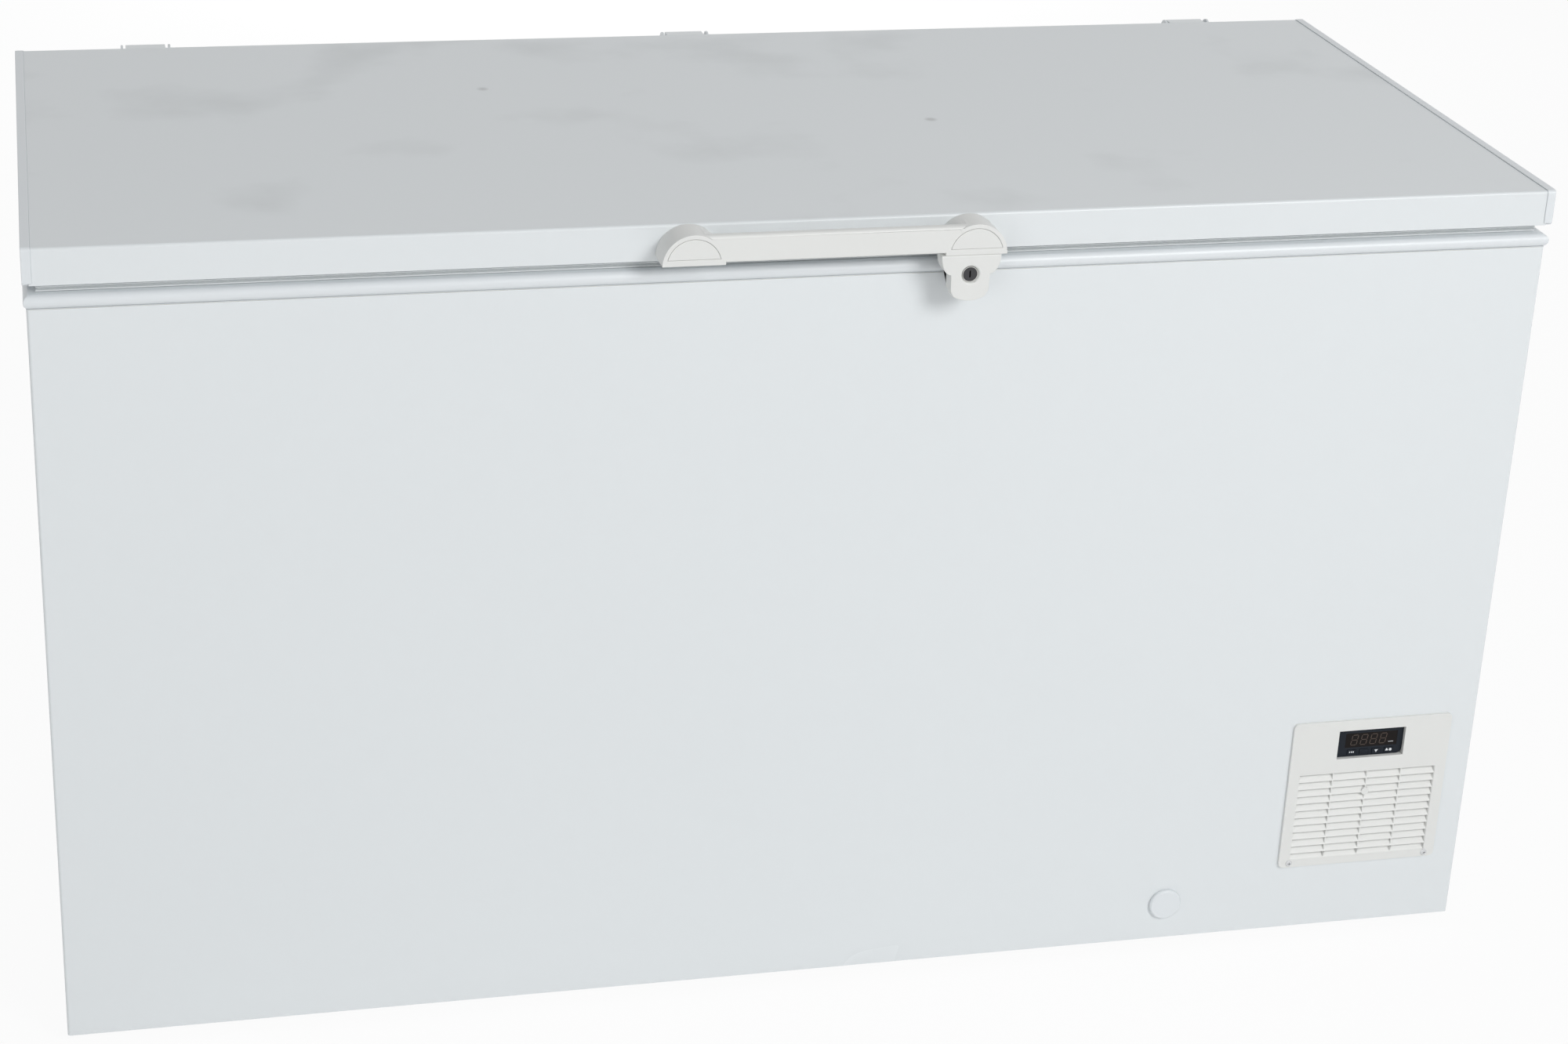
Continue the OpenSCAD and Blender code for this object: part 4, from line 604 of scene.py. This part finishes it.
# Lid. A powder-coated steel skin over foam, with plastic caps on its two ends.
# Its top is flat and shows the faint marks of wiping and a few specks.
def add_smudges(parts, depth):
    """Wiped patches and a few grey specks, spread over a flat top."""
    tree = parts["tree"]
    wiped = noise_of(tree, parts["place"], 5.5, 6.0)
    band = tree.nodes.new("ShaderNodeMapRange")
    band.inputs["From Min"].default_value = 0.55
    band.inputs["From Max"].default_value = 0.78
    tree.links.new(wiped, band.inputs["Value"])
    specks = tree.nodes.new("ShaderNodeTexVoronoi")
    specks.inputs["Scale"].default_value = 7.0
    tree.links.new(parts["place"], specks.inputs["Vector"])
    near = tree.nodes.new("ShaderNodeMapRange")
    near.inputs["From Min"].default_value = 0.055
    near.inputs["From Max"].default_value = 0.02
    tree.links.new(specks.outputs["Distance"], near.inputs["Value"])
    rare = sum_of(tree, "GREATER_THAN", specks.outputs["Color"], 0.72)
    spot = sum_of(tree, "MULTIPLY", sum_of(tree, "MULTIPLY", near.outputs[0], rare), 2.2)
    mark = sum_of(tree, "MULTIPLY", sum_of(tree, "ADD", band.outputs[0], spot), depth)
    shade = blend_of(tree, mark, parts["detail"].outputs["Colour"], (0.42, 0.41, 0.39))
    tree.links.new(shade, parts["shader"].inputs["Base Color"])
    gloss = sum_of(tree, "ADD", parts["detail"].outputs["Roughness"], sum_of(tree, "MULTIPLY", mark, 1.2))
    tree.links.new(gloss, parts["shader"].inputs["Roughness"])


lid_paint, lid_parts = finish_of("lid_paint", (0.79, 0.822, 0.835), 0.36, grain=420, relief=0.035, patch=1.6, depth=0.03)
add_smudges(lid_parts, 0.16)
eased("lid_skin", "lid_top", 0.25, lid_paint, "lid")
for side in ("left", "right"):
    eased("lid_cap_" + side, "lid_end_" + side, 0.8, rim_plastic, "lid", segments=3)
dress("lid_foam", foam)
eased("lid_liner", "lid_underside", 1.5, rim_plastic, "lid", segments=3)
pan_low, pan_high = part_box("lid_liner")
skin_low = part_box("lid_skin")[0]
bm = bmesh.new()
for edge_x, way in ((pan_low.x, -1), (pan_high.x, 1)):
    made = bmesh.ops.create_cube(bm, size=1)["verts"]
    bmesh.ops.scale(bm, verts=made, vec=(0.0046, pan_high.y - pan_low.y, 0.0008))
    bmesh.ops.translate(bm, verts=made, vec=(edge_x + way * 0.0021, (pan_low.y + pan_high.y) / 2, skin_low.z - 0.0003))
bmesh.ops.bevel(
    bm, geom=bm.edges[:], offset=0.0003, offset_type="OFFSET", segments=2, profile=0.5, affect="EDGES", material=-1
)
settle(bm, "lid_beads", sealant, "lid")
driven_screws("lid_screws", "hinge_screws", "lid")
eased("hinge_leaves", "hinge_flaps", 0.4, body_paint, "lid")


# Lid seal. A soft white extrusion with a rounded magnetic nose, bellows above it and
# a lip that hides its groove, mitred and welded at the corners.
seal_rubber, _ = finish_of("seal_rubber", (0.76, 0.785, 0.79), 0.58, grain=1100, relief=0.1, patch=5, depth=0.05)
seal_low, seal_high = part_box("lid_gasket")
seal_w = 0.018
seal_h = seal_high.z - seal_low.z
seal_outline = (
    (0.10, 0.00), (0.90, 0.00), (0.99, 0.10), (0.99, 0.26), (0.90, 0.36), (0.86, 0.44), (0.93, 0.54), (0.99, 0.64),
    (0.99, 0.76), (0.90, 0.86), (0.94, 1.00), (0.06, 1.00), (0.10, 0.86), (0.01, 0.76), (0.01, 0.64), (0.07, 0.54),
    (0.14, 0.44), (0.10, 0.36), (0.01, 0.26), (0.01, 0.10),
)
bm = bmesh.new()
squared_ring(bm, seal_low, seal_high, [(u * seal_w, seal_low.z + v * seal_h) for u, v in seal_outline])
seal = settle(bm, "lid_seal", seal_rubber, "lid", crease=50)
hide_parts("lid_gasket")


# Handle. A hollow bar moulded in one with its two round brackets, in warm white
# plastic, with a snap-in cover over each bracket's screws.
eased("handle", "lid_handle", 0.5, white_plastic, "lid", segments=3)
eased("handle_covers", "handle_caps", 0.3, white_plastic, "lid")


# Lock. A moulded housing that hangs from the handle, and a keyed cylinder with
# a bright ring, whose tail turns a plated cam behind the keeper.
eased("lock_housing", "lock_case", 0.9, white_plastic, "lid", segments=3)
dress("lock_cam", plated)
barrel_low, barrel_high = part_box("lock_cylinder")
barrel_r = (barrel_high.x - barrel_low.x) / 2
barrel_middle = (barrel_low + barrel_high) / 2


def turned(name, profile, material, steps=48):
    """A piece turned about the lock's axis. The profile is radius and distance behind the face."""
    bm = bmesh.new()
    verts = [bm.verts.new((barrel_middle.x + r, barrel_low.y + back, barrel_middle.z)) for r, back in profile]
    edges = [bm.edges.new(pair) for pair in zip(verts, verts[1:])]
    bmesh.ops.spin(
        bm, geom=verts + edges, cent=(barrel_middle.x, 0, barrel_middle.z), axis=(0, 1, 0),
        angle=math.tau, steps=steps, use_merge=True,
    )
    return settle(bm, name, material, "lock_barrel", crease=30)


bright_ring, _ = finish_of(
    "bright_ring", (0.62, 0.62, 0.60), 0.22, grain=2500, relief=0.05, patch=60, depth=0.1, metallic=1.0
)
ring = turned(
    "lock_ring",
    (
        (0.0070, 0.0012), (0.0070, 0.0002), (0.0072, 0.0), (0.0076, 0.0), (0.0079, 0.0003), (0.0079, 0.0030),
        (0.0074, 0.0030), (0.0074, 0.0012), (0.0070, 0.0012),
    ),
    bright_ring,
)
bm = bmesh.new()
plug_r = 0.0069
plug_back = barrel_high.y - barrel_low.y
plug_face = barrel_low.y + 0.0007
made = bmesh.ops.create_circle(bm, cap_ends=True, segments=48, radius=plug_r)
bmesh.ops.rotate(bm, verts=made["verts"], cent=(0, 0, 0), matrix=Matrix.Rotation(math.pi / 2, 3, "X"))
for axis, offsets in ((Vector((1, 0, 0)), (-0.0007, 0.0007)), (Vector((0, 0, 1)), (-0.0034, 0.0034))):
    for offset in offsets:
        whole = bm.verts[:] + bm.edges[:] + bm.faces[:]
        bmesh.ops.bisect_plane(bm, geom=whole, dist=1e-7, plane_co=axis * offset, plane_no=axis)
keyway = [
    f for f in bm.faces
    if abs(f.calc_center_median().x) < 0.0007 and abs(f.calc_center_median().z) < 0.0034
]
rim_edges = [e for e in bm.edges if e.is_boundary]
sleeve = bmesh.ops.extrude_edge_only(bm, edges=rim_edges)
tail = [g for g in sleeve["geom"] if isinstance(g, bmesh.types.BMVert)]
bmesh.ops.translate(bm, verts=tail, vec=(0, plug_back - 0.0007, 0))
bmesh.ops.edgeloop_fill(bm, edges=[e for e in bm.edges if e.is_boundary])
sunk = bmesh.ops.extrude_face_region(bm, geom=keyway)
floor_of_keyway = [g for g in sunk["geom"] if isinstance(g, bmesh.types.BMVert)]
bmesh.ops.translate(bm, verts=floor_of_keyway, vec=(0, 0.006, 0))
bmesh.ops.delete(bm, geom=keyway, context="FACES")
bmesh.ops.translate(bm, verts=bm.verts, vec=(barrel_middle.x, plug_face, barrel_middle.z))
blackened, _ = finish_of(
    "blackened_steel", (0.035, 0.035, 0.038), 0.32, grain=1500, relief=0.06, patch=60, depth=0.12
)
plug = settle(bm, "lock_plug", blackened, "lock_barrel", crease=30)
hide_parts("lock_cylinder")


# Basket. Steel wire bent to U shapes, spot-welded at each crossing and plated, with
# two heavier rails whose ends rest on the ledge of the rim.
plated_wire, _ = finish_of(
    "plated_wire", (0.74, 0.75, 0.76), 0.26, grain=1800, relief=0.05, patch=30, depth=0.08, metallic=1.0
)
basket_low, basket_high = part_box("wire_basket")
rail_r = 0.003
wire_r = 0.0015
wire_bend = 0.009
wires_across = 5
wires_along = 8
rail_ends = 0.016


def bent_wire(bm, points, radius, plane, sides=10, closed=False):
    """A round wire along a run of points that lie in one plane."""
    loops = []
    count = len(points)
    for index, point in enumerate(points):
        before = points[index - 1] if index or closed else point
        after = points[(index + 1) % count] if index < count - 1 or closed else point
        along = (after - before).normalized()
        turn = Matrix((plane, along.cross(plane), along)).transposed().to_4x4()
        made = bmesh.ops.create_circle(
            bm, cap_ends=False, segments=sides, radius=radius, matrix=Matrix.Translation(point) @ turn
        )
        loops.append(list({e for v in made["verts"] for e in v.link_edges}))
    pairs = list(zip(loops, loops[1:]))
    if closed:
        pairs.append((loops[-1], loops[0]))
    for first, second in pairs:
        bmesh.ops.bridge_loops(bm, edges=first + second)
    if not closed:
        for end in (loops[0], loops[-1]):
            bmesh.ops.edgeloop_fill(bm, edges=end)


def rounded_run(corners, radius, closed=False, steps=5):
    """Points along straight runs whose corners are rounded."""
    points = []
    count = len(corners)
    for index, corner in enumerate(corners):
        if not closed and index in (0, count - 1):
            points.append(corner)
            continue
        back = (corners[index - 1] - corner).normalized()
        ahead = (corners[(index + 1) % count] - corner).normalized()
        centre = corner + (back + ahead) * radius
        for step in range(steps + 1):
            angle = math.pi / 2 * step / steps
            points.append(centre - ahead * radius * math.cos(angle) - back * radius * math.sin(angle))
    return points


left = basket_low.x + rail_r
right = basket_high.x - rail_r
near = basket_low.y + rail_ends
far = basket_high.y - rail_ends
bottom = basket_low.z + wire_r
top = basket_high.z - rail_r
along_x, along_y, along_z = Vector((1, 0, 0)), Vector((0, 1, 0)), Vector((0, 0, 1))
bm = bmesh.new()
for x in (left, right):
    bent_wire(bm, [Vector((x, basket_low.y, top)), Vector((x, basket_high.y, top))], rail_r, along_x, 14)
for y in (near, far):
    bent_wire(bm, [Vector((left, y, top)), Vector((right, y, top))], rail_r, along_y, 14)
for index in range(wires_across + 1):
    x = left + (right - left) * index / wires_across
    corners = [Vector((x, near, top)), Vector((x, near, bottom)), Vector((x, far, bottom)), Vector((x, far, top))]
    bent_wire(bm, rounded_run(corners, wire_bend), wire_r, along_x)
for index in range(wires_along + 1):
    y = near + (far - near) * index / wires_along
    corners = [Vector((left, y, top)), Vector((left, y, bottom)), Vector((right, y, bottom)), Vector((right, y, top))]
    bent_wire(bm, rounded_run(corners, wire_bend), wire_r, along_y)
for index in (1, 2):
    z = bottom + (top - bottom) * index / 3
    corners = [Vector((left, near, z)), Vector((right, near, z)), Vector((right, far, z)), Vector((left, far, z))]
    bent_wire(bm, rounded_run(corners, wire_bend, closed=True), wire_r, along_z, closed=True)
basket = settle(bm, "basket_wires", plated_wire, "basket", crease=60)
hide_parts("wire_basket")


# Floor and light. A plain pale floor that fades into white, one large soft lamp at
# the front on the right, and even light from all round.
def seen_directly(tree):
    """One where a ray comes from the camera, a mirror or a clear surface."""
    path = tree.nodes.new("ShaderNodeLightPath")
    straight = sum_of(tree, "MAXIMUM", path.outputs["Is Camera Ray"], path.outputs["Is Glossy Ray"])
    return sum_of(tree, "MAXIMUM", straight, path.outputs["Is Transmission Ray"])


floor_finish, floor_parts = finish_of("floor_finish", (0.86, 0.86, 0.86), 0.7, grain=120, relief=0.02, patch=0.6, depth=0.01)
tree = floor_parts["tree"]
glow = tree.nodes.new("ShaderNodeEmission")
glow.inputs["Color"].default_value = (1, 1, 1, 1)
faded = tree.nodes.new("ShaderNodeMixShader")
tree.links.new(sum_of(tree, "MULTIPLY", seen_directly(tree), 0.93), faded.inputs[0])
tree.links.new(floor_parts["shader"].outputs[0], faded.inputs[1])
tree.links.new(glow.outputs[0], faded.inputs[2])
tree.links.new(faded.outputs[0], tree.nodes["Material Output"].inputs["Surface"])
bm = bmesh.new()
bmesh.ops.create_grid(bm, x_segments=2, y_segments=2, size=9)
mesh = bpy.data.meshes.new("floor")
bm.to_mesh(mesh)
bm.free()
mesh.materials.append(floor_finish)
floor = bpy.data.objects.new("floor", mesh)
bpy.context.scene.collection.objects.link(floor)

room = bpy.data.worlds.new("room")
bpy.context.scene.world = room
room.use_nodes = True
tree = room.node_tree
soft = tree.nodes["Background"]
soft.inputs["Color"].default_value = (0.97, 0.985, 1.0, 1)
soft.inputs["Strength"].default_value = 0.40
white = tree.nodes.new("ShaderNodeBackground")
white.inputs["Color"].default_value = (1, 1, 1, 1)
white.inputs["Strength"].default_value = 1.0
choice = tree.nodes.new("ShaderNodeMixShader")
tree.links.new(seen_directly(tree), choice.inputs[0])
tree.links.new(soft.outputs[0], choice.inputs[1])
tree.links.new(white.outputs[0], choice.inputs[2])
tree.links.new(choice.outputs[0], tree.nodes["World Output"].inputs["Surface"])


def soft_lamp(name, place, aim, width, power, mirrored=True):
    """A large square lamp that faces a point; one that isn't mirrored leaves no glare."""
    lamp = bpy.data.lights.new(name, "AREA")
    lamp.shape = "SQUARE"
    lamp.size = width
    lamp.energy = power
    stand = bpy.data.objects.new(name, lamp)
    bpy.context.scene.collection.objects.link(stand)
    stand.visible_glossy = mirrored
    towards = Vector(aim) - Vector(place)
    stand.matrix_world = Matrix.Translation(place) @ towards.to_track_quat("-Z", "Y").to_matrix().to_4x4()


soft_lamp("key_lamp", (1.9, -4.1, 3.0), (0.0, 0, 0.5), 1.7, 104)
soft_lamp("fill_lamp", (-2.8, -3.4, 1.3), (-0.2, 0, 0.4), 2.0, 19)
soft_lamp("back_lamp", (0.6, 4.2, 0.9), (0.0, 0, 0.4), 2.0, 44, mirrored=False)
bpy.context.scene.view_settings.view_transform = "Standard"
